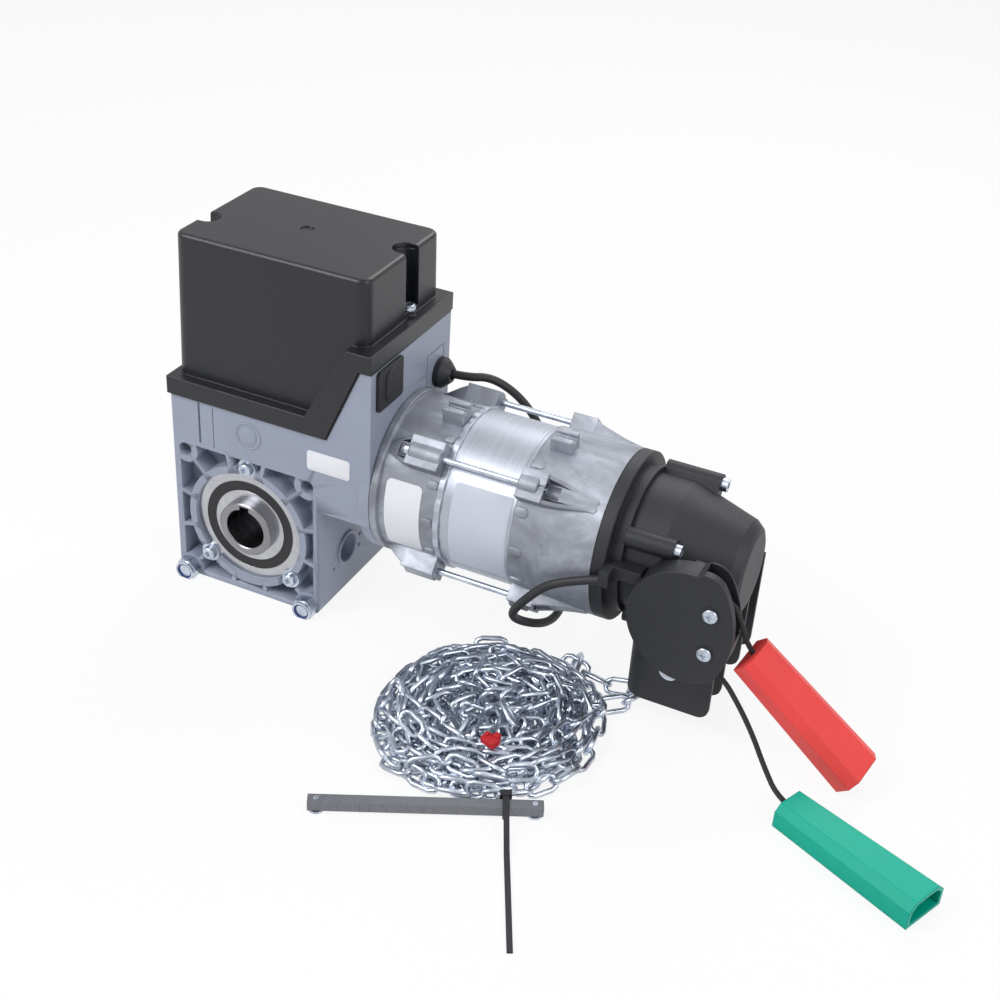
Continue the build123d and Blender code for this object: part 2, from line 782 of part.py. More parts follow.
# Rear motor casting, with the rear bearing's seat
with BuildPart() as rear_casting:
    with BuildSketch(profile_plane):
        with BuildLine():
            Polyline(
                (casting_rear_start_x, core_radius),
                (casting_rear_start_x, motor_radius),
                (casting_rear_start_x + 12, ring_radius),
                (casting_rear_end_x, ring_radius),
                (casting_rear_end_x, rear_bearing_radius - 2),
                (rear_bearing_x + rear_bearing_width, rear_bearing_radius - 2),
                (rear_bearing_x + rear_bearing_width, rear_bearing_radius),
                (rear_bearing_x, rear_bearing_radius),
                (rear_bearing_x, core_radius),
                close=True,
            )
        make_face()
    revolve(axis=motor_axis)
    for angle in corner_angles:
        with BuildSketch(corner_plane(angle)):
            with BuildLine():
                Polyline(
                    (casting_rear_start_x, lug_root),
                    (casting_rear_start_x, lug_radius),
                    (casting_rear_start_x + 15, lug_radius),
                    (casting_rear_start_x + 15, lug_root),
                    close=True,
                )
            make_face()
        extrude(amount=lug_width / 2, both=True)
        with BuildSketch(corner_plane(angle)):
            with BuildLine():
                Polyline(
                    (casting_rear_start_x + 15, lug_root),
                    (casting_rear_start_x + 15, lug_radius - 3),
                    (casting_rear_end_x - 5, ring_radius + gusset_low_end),
                    (casting_rear_end_x - 5, lug_root),
                    close=True,
                )
            make_face()
        extrude(amount=gusset_tip_width, both=True)
    with BuildSketch(motor_plane(casting_rear_start_x)):
        with GridLocations(2 * rod_corner, 2 * rod_corner, 2, 2):
            Circle(rod_radius + 0.1)
    extrude(amount=15, mode=Mode.SUBTRACT)
    with BuildSketch(motor_plane(casting_rear_start_x + 11)):
        with GridLocations(2 * rod_corner, 2 * rod_corner, 2, 2):
            Circle(4.2)
    extrude(amount=12, mode=Mode.SUBTRACT)
save(rear_casting, "rear_casting")

# Tie rods with a head in front and a nut behind
with BuildPart() as tie_rods:
    with BuildSketch(motor_plane(casting_front_end_x - lug_length)):
        with GridLocations(2 * rod_corner, 2 * rod_corner, 2, 2):
            Circle(3.4)
    extrude(amount=-2.6)
    with BuildSketch(motor_plane(casting_front_end_x - lug_length)):
        with GridLocations(2 * rod_corner, 2 * rod_corner, 2, 2):
            Circle(rod_radius)
    extrude(amount=casting_rear_start_x + 15.5 - casting_front_end_x + lug_length)
save(tie_rods, "tie_rods")

with BuildPart() as tie_rod_nuts:
    with BuildSketch(motor_plane(casting_rear_start_x + 11)):
        with GridLocations(2 * rod_corner, 2 * rod_corner, 2, 2):
            RegularPolygon(3.6, 6)
            Circle(rod_radius, mode=Mode.SUBTRACT)
    extrude(amount=3)
save(tie_rod_nuts, "tie_rod_nuts")

# Control hood: a drafted box with a stepped flange band and two screw notches
hood_centre = (14.3, 48.85)
hood_low_size = (125.6, 86.7)
hood_top_size = (122.1, 83.9)
hood_corner = 7.0
hood_front_y = -1.3
hood_left_x = -51.0
hood_right_x = 82.6
notch_width = 15.0
notch_floor = 3.0
left_notch_z = 91.0
left_notch_end = -35.3
right_notch_z = 139.0
right_notch_end = 63.4
left_notch_y = hood_screw_places[0][1]
right_notch_y = hood_screw_places[1][1]


def rim_points(gap, left, right):
    """The stepped rim line, moved square to itself by gap, from left to right."""
    slope = (rim_crest_x - rim_knee_x) / (rim_high_z - rim_low_z)
    shift = gap * slope - gap * math.hypot(1, slope)
    return [
        (left, rim_low_z + gap),
        (rim_knee_x + shift, rim_low_z + gap),
        (rim_crest_x + shift, rim_high_z + gap),
        (right, rim_high_z + gap),
    ]


with BuildPart() as hood_gasket:
    with BuildSketch(front_plane(0)):
        with BuildLine():
            Polyline(
                *rim_points(0, -case_half_width, flange_face_x),
                *reversed(rim_points(gasket_thickness, -case_half_width, flange_face_x)),
                close=True,
            )
        make_face()
    extrude(amount=-case_depth)
    with BuildSketch(Plane.XY.offset(tray_floor_z)):
        with Locations(((flange_face_x - case_half_width) / 2, mid_y)):
            Rectangle(flange_face_x + case_half_width - 2 * case_wall, case_depth - 2 * case_wall)
    extrude(amount=60, mode=Mode.SUBTRACT)
save(hood_gasket, "hood_gasket")

with BuildPart() as control_hood:
    with BuildSketch(Plane.XY.offset(rim_low_z + gasket_thickness)):
        with Locations(hood_centre):
            RectangleRounded(*hood_low_size, hood_corner)
    with BuildSketch(Plane.XY.offset(hood_top_z)):
        with Locations(hood_centre):
            RectangleRounded(*hood_top_size, hood_corner)
    loft()
    fillet(control_hood.faces().sort_by(Axis.Z)[-1].edges(), radius=2.5)
    # Flange band along the stepped rim
    with BuildSketch(front_plane(hood_front_y)):
        with BuildLine():
            Polyline(
                *rim_points(gasket_thickness, hood_left_x, hood_right_x),
                (hood_right_x, 136.0),
                (67.0, 136.0),
                (41.0, 88.4),
                (hood_left_x, 88.4),
                close=True,
            )
        make_face()
    extrude(amount=-(case_depth - 2 * hood_front_y))
    with BuildSketch(front_plane(hood_front_y - 5)):
        with BuildLine():
            Polyline(
                *rim_points(gasket_thickness, hood_left_x - 9, hood_right_x + 9),
                (hood_right_x + 9, 60),
                (hood_left_x - 9, 60),
                close=True,
            )
        make_face()
    extrude(amount=-(case_depth + 20), mode=Mode.SUBTRACT)
    # Cavity
    with BuildSketch(Plane.XY.offset(rim_low_z)):
        with Locations(hood_centre):
            RectangleRounded(hood_low_size[0] - 2 * hood_wall, hood_low_size[1] - 2 * hood_wall, 4)
    with BuildSketch(Plane.XY.offset(hood_top_z - hood_wall)):
        with Locations(hood_centre):
            RectangleRounded(hood_top_size[0] - 2 * hood_wall, hood_top_size[1] - 2 * hood_wall, 4)
    loft(mode=Mode.SUBTRACT)
    # Columns round the notches, and bosses down to the case's pillars
    with BuildSketch(Plane.XY.offset(left_notch_z - notch_floor)):
        with Locations((left_notch_end - 4.2, left_notch_y)):
            Rectangle(14, notch_width + 2 * hood_wall)
    extrude(amount=hood_top_z - left_notch_z)
    with BuildSketch(Plane.XY.offset(right_notch_z - notch_floor)):
        with Locations((right_notch_end + 4.2, right_notch_y)):
            Rectangle(14, notch_width + 2 * hood_wall)
    extrude(amount=hood_top_z - right_notch_z)
    with BuildSketch(Plane.XY.offset(rim_low_z)):
        with Locations(hood_screw_places[0]):
            Circle(hood_pillar_radius - 1.3)
    extrude(amount=left_notch_z - notch_floor - rim_low_z + 1)
    with BuildSketch(Plane.XY.offset(rim_high_z)):
        with Locations(hood_screw_places[1]):
            Circle(hood_pillar_radius - 1.3)
    extrude(amount=right_notch_z - notch_floor - rim_high_z + 1)
    # Room for the case's taller pillar
    with BuildSketch(Plane.XY.offset(rim_low_z)):
        with Locations(hood_screw_places[1]):
            Circle(hood_pillar_radius + 0.2)
    extrude(amount=rim_high_z - rim_low_z, mode=Mode.SUBTRACT)
    # The notches themselves, round at their inner ends, and the screws' holes
    with BuildSketch(Plane.XY.offset(left_notch_z)):
        with Locations((left_notch_end - notch_width / 2, left_notch_y)):
            Circle(notch_width / 2)
        with Locations((left_notch_end - notch_width, left_notch_y)):
            Rectangle(notch_width, notch_width)
    extrude(amount=90, mode=Mode.SUBTRACT)
    with BuildSketch(Plane.XY.offset(right_notch_z)):
        with Locations((right_notch_end + notch_width / 2, right_notch_y)):
            Circle(notch_width / 2)
        with Locations((right_notch_end + notch_width, right_notch_y)):
            Rectangle(notch_width, notch_width)
    extrude(amount=40, mode=Mode.SUBTRACT)
    with BuildSketch(Plane.XY.offset(rim_low_z)):
        with Locations(*hood_screw_places):
            Circle(2.2)
    extrude(amount=70, mode=Mode.SUBTRACT)
    # Shallow moulding gate on top
    with BuildSketch(Plane.XY.offset(hood_top_z)):
        with Locations((12.5, 50)):
            Circle(4.5)
    extrude(amount=-0.7, mode=Mode.SUBTRACT)
save(control_hood, "control_hood")

with BuildPart() as hood_screws:
    for place, seat_z in zip(hood_screw_places, (left_notch_z, right_notch_z)):
        with BuildSketch(Plane.XY.offset(seat_z)):
            with Locations(place):
                Circle(4.3)
        extrude(amount=2.6)
        with BuildSketch(Plane.XY.offset(seat_z + 2.6)):
            with Locations(place):
                Rectangle(6, 1.2)
                Rectangle(1.2, 6)
        extrude(amount=-1.4, mode=Mode.SUBTRACT)
        with BuildSketch(Plane.XY.offset(seat_z)):
            with Locations(place):
                Circle(2.1)
        extrude(amount=-32)
save(hood_screws, "hood_screws")

# What stands in the terminal tray
with BuildPart() as terminal_board:
    with BuildSketch(Plane.XY.offset(tray_floor_z + 8)):
        with Locations((4, mid_y)):
            Rectangle(66, 62)
    extrude(amount=1.6)
    with BuildSketch(Plane.XY.offset(tray_floor_z)):
        with Locations((4, mid_y)):
            with GridLocations(56, 52, 2, 2):
                Circle(3)
    extrude(amount=8)
    with BuildSketch(Plane.XY.offset(tray_floor_z + 9.6)):
        with Locations((4, mid_y - 24)):
            Rectangle(56, 9)
        with Locations((-10, mid_y + 4)):
            Rectangle(24, 26)
        with Locations((18, mid_y + 8)):
            Rectangle(18, 22)
    extrude(amount=12)
save(terminal_board, "terminal_board")

with BuildPart() as limit_switch_unit:
    with BuildSketch(Plane.XY.offset(tray_floor_z)):
        with Locations((53, 26)):
            Rectangle(24, 34)
    extrude(amount=16)
    with BuildSketch(Plane.XY.offset(tray_floor_z + 16)):
        with Locations((53, 26)):
            with GridLocations(0, 11, 1, 3):
                Circle(4.5)
    extrude(amount=6)
save(limit_switch_unit, "limit_switch_unit")

# Plastic end ring behind the motor, and the fixed sleeve the chain wheel runs on
with BuildPart() as end_ring:
    with BuildSketch(profile_plane):
        with BuildLine():
            Polyline(
                (casting_rear_end_x, 40),
                (casting_rear_end_x, ring_radius),
                (casting_rear_end_x + ring_width, ring_radius),
                (casting_rear_end_x + ring_width, shoulder_radius),
                (shoulder_end_x, shoulder_radius),
                (shoulder_end_x, sleeve_radius + 1),
                (casting_rear_end_x + ring_width, sleeve_radius + 1),
                (casting_rear_end_x + ring_width, 40),
                close=True,
            )
        make_face()
    revolve(axis=motor_axis)
    fillet(end_ring.edges().filter_by(GeomType.CIRCLE).sort_by(SortBy.RADIUS)[-2:], radius=0.8)
save(end_ring, "end_ring")

with BuildPart() as chain_wheel_axle:
    with BuildSketch(motor_plane(casting_rear_end_x + ring_width)):
        Circle(sleeve_radius)
        Circle(spline_radius + 0.8, mode=Mode.SUBTRACT)
    extrude(amount=hub_end_x - casting_rear_end_x - ring_width - 2)
    with BuildSketch(motor_plane(shoulder_end_x)):
        Circle(sleeve_radius + 7)
        Circle(spline_radius + 0.8, mode=Mode.SUBTRACT)
    extrude(amount=2.5)
save(chain_wheel_axle, "chain_wheel_axle")

# Pocket chain wheel
groove_radius = chain_pitch_radius - chain_tube_radius
with BuildPart() as chain_wheel:
    with BuildSketch(profile_plane):
        with BuildLine():
            Polyline(
                (hub_start_x, sleeve_radius + running_gap),
                (hub_start_x, chain_pitch_radius + 3.5),
                (hub_start_x + 2, chain_pitch_radius + 3.5),
                (hub_start_x + 2.4, groove_radius),
                (2 * chain_wheel_x - hub_start_x - 2.4, groove_radius),
                (2 * chain_wheel_x - hub_start_x - 2, chain_pitch_radius + 3.5),
                (2 * chain_wheel_x - hub_start_x, chain_pitch_radius + 3.5),
                (2 * chain_wheel_x - hub_start_x, sleeve_radius + 4),
                (hub_end_x, sleeve_radius + 4),
                (hub_end_x, sleeve_radius + running_gap),
                close=True,
            )
        make_face()
    revolve(axis=motor_axis)
save(chain_wheel, "chain_wheel")

# Clutch ring that slides on the shaft's end into the chain wheel's hub
with BuildPart() as clutch_ring:
    with BuildSketch(profile_plane):
        with BuildLine():
            Polyline(
                (clutch_rest_x - clutch_width / 2, spline_radius + running_gap),
                (clutch_rest_x - clutch_width / 2, sleeve_radius + 4.5),
                (clutch_rest_x - 2.3, sleeve_radius + 4.5),
                (clutch_rest_x - 2.3, sleeve_radius + 1),
                (clutch_rest_x + 2.3, sleeve_radius + 1),
                (clutch_rest_x + 2.3, sleeve_radius + 4.5),
                (clutch_rest_x + clutch_width / 2, sleeve_radius + 4.5),
                (clutch_rest_x + clutch_width / 2, spline_radius + running_gap),
                close=True,
            )
        make_face()
    revolve(axis=motor_axis)
save(clutch_ring, "clutch_ring")

# Release pulley, its spindle and the crank pin that rides in the clutch ring's groove
pulley_radius = 12.5
pulley_y = -0.6
pulley_width = 4.4
spindle_radius = 4.0
release_back_y = release_front_y + release_depth
crank_y = motor_y - sleeve_radius - 6.5
crank_start = math.radians(90 - release_travel / 2)
pin_place = (release_x + crank_radius * math.cos(crank_start), release_z + crank_radius * math.sin(crank_start))
with BuildPart() as release_pulley:
    with BuildSketch(front_plane(pulley_y)):
        with Locations((release_x, release_z)):
            Circle(pulley_radius)
    extrude(amount=-pulley_width)
    with BuildSketch(front_plane(pulley_y)):
        with Locations((release_x, release_z)):
            Circle(spindle_radius)
    extrude(amount=-(crank_y - pulley_y))
    with BuildSketch(front_plane(crank_y - 3)):
        with Locations((release_x, release_z)):
            Circle(spindle_radius)
        with Locations(pin_place):
            Circle(2.6)
        with Locations(((release_x + pin_place[0]) / 2, (release_z + pin_place[1]) / 2)):
            Rectangle(5, crank_radius, rotation=-release_travel / 2)
    extrude(amount=-3)
    with BuildSketch(front_plane(crank_y)):
        with Locations(pin_place):
            Circle(1.8)
    extrude(amount=-5.0)
save(release_pulley, "release_pulley")

# End cover over the chain wheel, with screw bosses and the strands' two openings
cover_knee_x = 287.0
cover_boss_radius = 41.0
boss_radius = 5.5
long_bosses = ((57, 263.0), (147, 258.0))
short_bosses = ((237, 239.5), (327, 239.5))
strand_y = (motor_y - chain_pitch_radius, motor_y + chain_pitch_radius)
cover_outline = [
    (shoulder_end_x, 0),
    (shoulder_end_x, cover_radius),
    (cover_taper_x, cover_radius),
    (cover_knee_x, cover_end_radius + 4),
    (cover_end_x - 1.2, cover_end_radius + 0.5),
    (cover_end_x, cover_end_radius - 2.5),
    (cover_end_x, 0),
]
with BuildPart() as end_cover:
    with BuildSketch(profile_plane):
        with BuildLine():
            Polyline(*cover_outline, close=True)
        make_face()
    revolve(axis=motor_axis)
    for angle, end_x in long_bosses + short_bosses:
        with BuildSketch(motor_plane(shoulder_end_x)):
            with Locations(around_motor(cover_boss_radius, angle)):
                Circle(boss_radius)
            with Locations(around_motor(cover_boss_radius - boss_radius, angle)):
                Rectangle(2 * boss_radius, 2 * boss_radius, rotation=angle)
        extrude(amount=end_x - shoulder_end_x)
    with BuildSketch(profile_plane):
        with BuildLine():
            Polyline(
                (shoulder_end_x, 0),
                (shoulder_end_x, cover_radius - cover_wall),
                (cover_taper_x, cover_radius - cover_wall),
                (cover_knee_x - 1.5, cover_end_radius + 2),
                (cover_end_x - cover_wall, cover_end_radius - 2),
                (cover_end_x - cover_wall, 0),
                close=True,
            )
        make_face()
    revolve(axis=motor_axis, mode=Mode.SUBTRACT)
    with BuildSketch(Plane.XY.offset(motor_z - cover_radius - 10)):
        for y in strand_y:
            with Locations((chain_wheel_x, y)):
                Rectangle(13, 12.4)
    extrude(amount=34, mode=Mode.SUBTRACT)
    with BuildSketch(front_plane(-10)):
        with Locations((release_x, release_z)):
            Circle(spindle_radius + 0.3)
    extrude(amount=-(motor_y + 10), mode=Mode.SUBTRACT)
    with BuildSketch(motor_plane(shoulder_end_x)):
        for angle, end_x in long_bosses + short_bosses:
            with Locations(around_motor(cover_boss_radius, angle)):
                Circle(1.9)
    extrude(amount=60, mode=Mode.SUBTRACT)
    for angle, end_x in short_bosses:
        with BuildSketch(motor_plane(end_x)):
            with Locations(around_motor(cover_boss_radius, angle)):
                Circle(4.1)
        extrude(amount=5, mode=Mode.SUBTRACT)
save(end_cover, "end_cover")

with BuildPart() as end_cover_screws:
    for angle, end_x in long_bosses + short_bosses:
        with BuildSketch(motor_plane(end_x)):
            with Locations(around_motor(cover_boss_radius, angle)):
                Circle(3.8)
        extrude(amount=3.6)
        with BuildSketch(motor_plane(end_x + 3.6)):
            with Locations(around_motor(cover_boss_radius, angle)):
                RegularPolygon(1.9, 6)
        extrude(amount=-2, mode=Mode.SUBTRACT)
        with BuildSketch(motor_plane(end_x)):
            with Locations(around_motor(cover_boss_radius, angle)):
                Circle(1.8)
        extrude(amount=shoulder_end_x - end_x)
save(end_cover_screws, "end_cover_screws")

# Chain guide: two upright channels, open to the right, joined by a saddle under the cover
release_back = release_front_y + release_depth
guide_left_x = 239.5
guide_round = (guide_depth + 2 * 0.95) / 2
guide_arc_x = guide_left_x + guide_round
channel_y = (release_back + guide_round, 2 * motor_y - release_back - guide_round)
with BuildPart() as chain_guide:
    for y in channel_y:
        with BuildSketch(Plane.XY.offset(guide_bottom_z)):
            with Locations((guide_arc_x, y)):
                Circle(guide_round)
            with Locations(((guide_arc_x + guide_right_x) / 2, y)):
                Rectangle(guide_right_x - guide_arc_x, 2 * guide_round)
            with Locations((guide_arc_x, y)):
                Circle(guide_round - guide_wall, mode=Mode.SUBTRACT)
            with Locations(((guide_arc_x + guide_right_x) / 2 + 1, y)):
                Rectangle(guide_right_x - guide_arc_x + 2, 2 * (guide_round - guide_wall), mode=Mode.SUBTRACT)
        extrude(amount=guide_top_z - guide_bottom_z)
    with BuildSketch(Plane.XY.offset(0)):
        with Locations((guide_arc_x + 3, motor_y)):
            Rectangle(22, 2 * (motor_y - channel_y[0] - guide_round) + 1)
    extrude(amount=8)
    fillet(chain_guide.edges().filter_by(Axis.Y).sort_by(lambda e: e.center().Z - e.center().X)[:4], radius=6.5)
    with BuildSketch(profile_plane):
        with BuildLine():
            Polyline(*cover_outline, close=True)
        make_face()
    revolve(axis=motor_axis, mode=Mode.SUBTRACT)
    # Clearance round the cover's bosses and the release spindle
    with BuildSketch(motor_plane(shoulder_end_x)):
        for angle, end_x in short_bosses:
            with Locations(around_motor(cover_boss_radius, angle)):
                Circle(boss_radius + 0.4)
    extrude(amount=13, mode=Mode.SUBTRACT)
    with BuildSketch(front_plane(0)):
        with Locations((release_x, release_z)):
            Circle(spindle_radius + 0.3)
        with Locations((265.5, -8.5)):
            Circle(2.5)
    extrude(amount=-(release_back + guide_wall), mode=Mode.SUBTRACT)
save(chain_guide, "chain_guide")

with BuildPart() as guide_screw:
    with BuildSketch(front_plane(release_back)):
        with Locations((265.5, -8.5)):
            Circle(5.5)
    extrude(amount=2.2)
    with BuildSketch(front_plane(release_back)):
        with Locations((265.5, -8.5)):
            Circle(2.5)
    extrude(amount=-guide_wall - 1.5)
save(guide_screw, "guide_screw")

# Release housing: a shallow egg-shaped case with two arms to the end ring
release_wall = 2.2
release_cover_thickness = 2.4
release_screws_at = ((286.5, 45.7), (286.4, 20.9))


def release_outline():
    """The egg-shaped outline with its small step at the top, as joined arcs."""
    ThreePointArc((276.2, 66.3), (250.5, 57.3), (240.6, 34.0))
    ThreePointArc((240.6, 34.0), (245.4, 16.5), (257.3, 3.9))
    ThreePointArc((257.3, 3.9), (275.5, -2.2), (292.7, 4.3))
    ThreePointArc((292.7, 4.3), (299.8, 33.0), (290.4, 64.5))
    ThreePointArc((290.4, 64.5), (286.0, 67.4), (280.0, 68.3))
    Line((280.0, 68.3), (276.2, 66.3))


with BuildPart() as release_cover:
    with BuildSketch(front_plane(release_front_y)):
        with BuildLine():
            release_outline()
        make_face()
        with Locations(*release_screws_at):
            Circle(1.6, mode=Mode.SUBTRACT)
    extrude(amount=-release_cover_thickness)
    fillet(release_cover.faces().sort_by(Axis.Y)[0].outer_wire().edges(), radius=0.6)
save(release_cover, "release_cover")

with BuildPart() as release_base:
    with BuildSketch(front_plane(release_front_y + release_cover_thickness)):
        with BuildLine():
            release_outline()
        make_face()
    extrude(amount=-(release_depth - release_cover_thickness))
    with BuildSketch(front_plane(release_front_y + release_cover_thickness)):
        with BuildLine():
            release_outline()
        make_face()
        offset(amount=-release_wall)
        with Locations(*release_screws_at):
            Circle(3.4, mode=Mode.SUBTRACT)
    extrude(amount=-(release_depth - release_cover_thickness - release_wall), mode=Mode.SUBTRACT)
    # Arms from the end ring, the upper one reaching the cover's boss
    with BuildSketch(Plane.YZ.offset(shoulder_end_x - 4)):
        with Locations((4.2, 49.0)):
            Rectangle(8.6, 7.6)
    extrude(amount=18)
    with BuildSketch(Plane.YZ.offset(casting_rear_end_x + ring_width)):
        with Locations((0.0, 48.0)):
            Rectangle(17.0, 9.0)
    extrude(amount=5.5)
    with BuildSketch(motor_plane(casting_rear_end_x)):
        Circle(shoulder_radius)
    extrude(amount=shoulder_end_x - casting_rear_end_x, mode=Mode.SUBTRACT)
    with BuildSketch(motor_plane(casting_rear_end_x + ring_width)):
        with Locations((-5.7 - motor_y, 47.0 - motor_z)):
            Circle(cable_radius)
    extrude(amount=3.0, mode=Mode.SUBTRACT)
    with BuildSketch(motor_plane(shoulder_end_x)):
        with Locations(around_motor(cover_boss_radius, long_bosses[1][0])):
            Circle(boss_radius + 0.2)
    extrude(amount=40, mode=Mode.SUBTRACT)
    with BuildSketch(motor_plane(shoulder_end_x)):
        Circle(cover_radius)
    extrude(amount=cover_taper_x + 3 - shoulder_end_x, mode=Mode.SUBTRACT)
    # Holes: cover screws, spindle, the guide screw's head, cord slot above and cord hole below
    with BuildSketch(front_plane(release_front_y)):
        with Locations(*release_screws_at):
            Circle(1.5)
    extrude(amount=-12, mode=Mode.SUBTRACT)
    with BuildSketch(front_plane(release_front_y)):
        with Locations((release_x, release_z)):
            Circle(spindle_radius + running_gap)
    extrude(amount=-release_depth, mode=Mode.SUBTRACT)
    with BuildSketch(front_plane(release_back - 3)):
        with Locations((265.5, -8.5)):
            Circle(6.4)
    extrude(amount=-3, mode=Mode.SUBTRACT)
    with BuildSketch(front_plane(-1.0)):
        with Locations((291.5, 61)):
            Rectangle(25, 22)
        with Locations((297.5, 41)):
            Rectangle(12, 22)
    extrude(amount=-8.2, mode=Mode.SUBTRACT)
    with BuildSketch(front_plane(-2.0)):
        with Locations((295.5, 7.0)):
            Rectangle(16, 8, rotation=-20)
    extrude(amount=-4.4, mode=Mode.SUBTRACT)
save(release_base, "release_base")

with BuildPart() as release_screws:
    with BuildSketch(front_plane(release_front_y)):
        with Locations(*release_screws_at):
            Circle(4.0)
    extrude(amount=1.8)
    chamfer(release_screws.faces().group_by(Axis.Y)[0].edges(), length=0.5)
    with BuildSketch(front_plane(release_front_y - 1.8)):
        with Locations(*release_screws_at):
            RegularPolygon(1.7, 6)
    extrude(amount=-1.2, mode=Mode.SUBTRACT)
    with BuildSketch(front_plane(release_front_y)):
        with Locations(*release_screws_at):
            Circle(1.5)
    extrude(amount=-10)
save(release_screws, "release_screws")

# Pull cords: each leaves the pulley square to its radius and ends in a knot inside its handle
cord_radius = 1.5
cord_circle = pulley_radius + cord_radius + 0.1


def route(points, tube_radius):
    """A tube along straight runs joined by tangent arcs, each as wide as its runs allow."""
    steps = [Vector(*b) - Vector(*a) for a, b in zip(points, points[1:])]
    radii = []
    for before, after in zip(steps, steps[1:]):
        half = math.radians(before.get_angle(after) / 2)
        radii.append(0.45 * min(before.length, after.length) / math.tan(half))
    path = FilletPolyline(*points, radius=radii)
    length = path.length
    print("route radii", [round(r, 1) for r in radii], "length", round(length, 1))
    return path




def off_pulley(point, side, y):
    """Where a cord to this point leaves the pulley: side 1 over the top, -1 under it."""
    dx = point[0] - release_x
    dz = point[2] - release_z
    angle = math.atan2(dz, dx) + side * math.acos(cord_circle / math.hypot(dx, dz))
    return (release_x + cord_circle * math.cos(angle), y, release_z + cord_circle * math.sin(angle))


red_slot = (293.0, 1.8, 57.0)
green_hole = (294.5, 0.2, 7.5)
red_points = [
    off_pulley(red_slot, 1, 1.5),
    red_slot,
    (301.5, 5.6, 36.5),
    (305.2, 7.2, 24.4),
    (313.5, 6.9, 17.0),
]
green_points = [
    off_pulley(green_hole, -1, 0.6),
    green_hole,
    (309.0, -4.0, -7.0),
    (320.0, -9.5, -18.5),
    (329.0, -12.5, -33.0),
    (342.0, -26.0, -39.5),
    (355.8, -32.1, -39.5),
]
with BuildPart() as red_cord:
    with BuildLine() as red_path:
        route(red_points, cord_radius)
    with BuildSketch(Plane(origin=red_path.line @ 0, z_dir=red_path.line % 0)):
        Circle(cord_radius)
    sweep(path=red_path.line)
    with Locations(red_points[-1]):
        Sphere(3.0)
save(red_cord, "red_cord")

with BuildPart() as green_cord:
    with BuildLine() as green_path:
        route(green_points, cord_radius)
    with BuildSketch(Plane(origin=green_path.line @ 0, z_dir=green_path.line % 0)):
        Circle(cord_radius)
    sweep(path=green_path.line)
    with Locations(green_points[-1]):
        Sphere(3.0)
save(green_cord, "green_cord")

# Pull handles: tapered tubes, closed at the cord's end and open at the other
closed_width = 22.8
open_width = 27.5
closed_height = 13.7
open_height = 15.4
closed_end = 3.0


def turned(vector, yaw, pitch, roll):
    """A vector turned by roll about X, then pitch about Y, then yaw about Z, in degrees."""
    return Vector(*vector).rotate(Axis.X, roll).rotate(Axis.Y, pitch).rotate(Axis.Z, yaw)


def handle_plane(origin, turn, distance, lift):
    """A plane across a handle: local x is its width, local y its thickness."""
    along = turned((1, 0, 0), *turn)
    up = turned((0, 0, 1), *turn)
    place = Vector(*origin) + along * distance + up * lift
    return Plane(origin=place, x_dir=turned((0, 1, 0), *turn), z_dir=along)


def handle_section(width, height):
    """A tube section with its two upper corners cut off at a slant."""
    Polygon(
        (-width / 2, -height / 2),
        (width / 2, -height / 2),
        (width / 2, height * 0.2),
        (width * 0.32, height / 2),
        (-width * 0.32, height / 2),
        (-width / 2, height * 0.2),
        align=None,
    )


red_place = (304.4, 9.3, 16.4)
red_turn = (2.7, 40.7, 24.1)
green_place = (348.5, -28.9, floor_z)
green_turn = (-23.8, 0.0, 0.0)
with BuildPart() as red_handle:
    with BuildSketch(handle_plane(red_place, red_turn, 0, closed_height / 2)):
        handle_section(closed_width, closed_height)
    with BuildSketch(handle_plane(red_place, red_turn, handle_length, open_height / 2)):
        handle_section(open_width, open_height)
    loft()
    with BuildSketch(handle_plane(red_place, red_turn, closed_end, closed_height / 2)):
        handle_section(closed_width - 2 * handle_wall, closed_height - 2 * handle_wall)
    with BuildSketch(handle_plane(red_place, red_turn, handle_length, open_height / 2)):
        handle_section(open_width - 2 * handle_wall, open_height - 2 * handle_wall)
    loft(mode=Mode.SUBTRACT)
    with BuildSketch(handle_plane(red_place, red_turn, -1, closed_height / 2)):
        Circle(cord_radius + 0.4)
    extrude(amount=closed_end + 2, mode=Mode.SUBTRACT)
save(red_handle, "red_handle")

with BuildPart() as green_handle:
    with BuildSketch(handle_plane(green_place, green_turn, 0, closed_height / 2)):
        handle_section(closed_width, closed_height)
    with BuildSketch(handle_plane(green_place, green_turn, handle_length, open_height / 2)):
        handle_section(open_width, open_height)
    loft()
    with BuildSketch(handle_plane(green_place, green_turn, closed_end, closed_height / 2)):
        handle_section(closed_width - 2 * handle_wall, closed_height - 2 * handle_wall)
    with BuildSketch(handle_plane(green_place, green_turn, handle_length, open_height / 2)):
        handle_section(open_width - 2 * handle_wall, open_height - 2 * handle_wall)
    loft(mode=Mode.SUBTRACT)
    with BuildSketch(handle_plane(green_place, green_turn, -1, closed_height / 2)):
        Circle(cord_radius + 0.4)
    extrude(amount=closed_end + 2, mode=Mode.SUBTRACT)
save(green_handle, "green_handle")

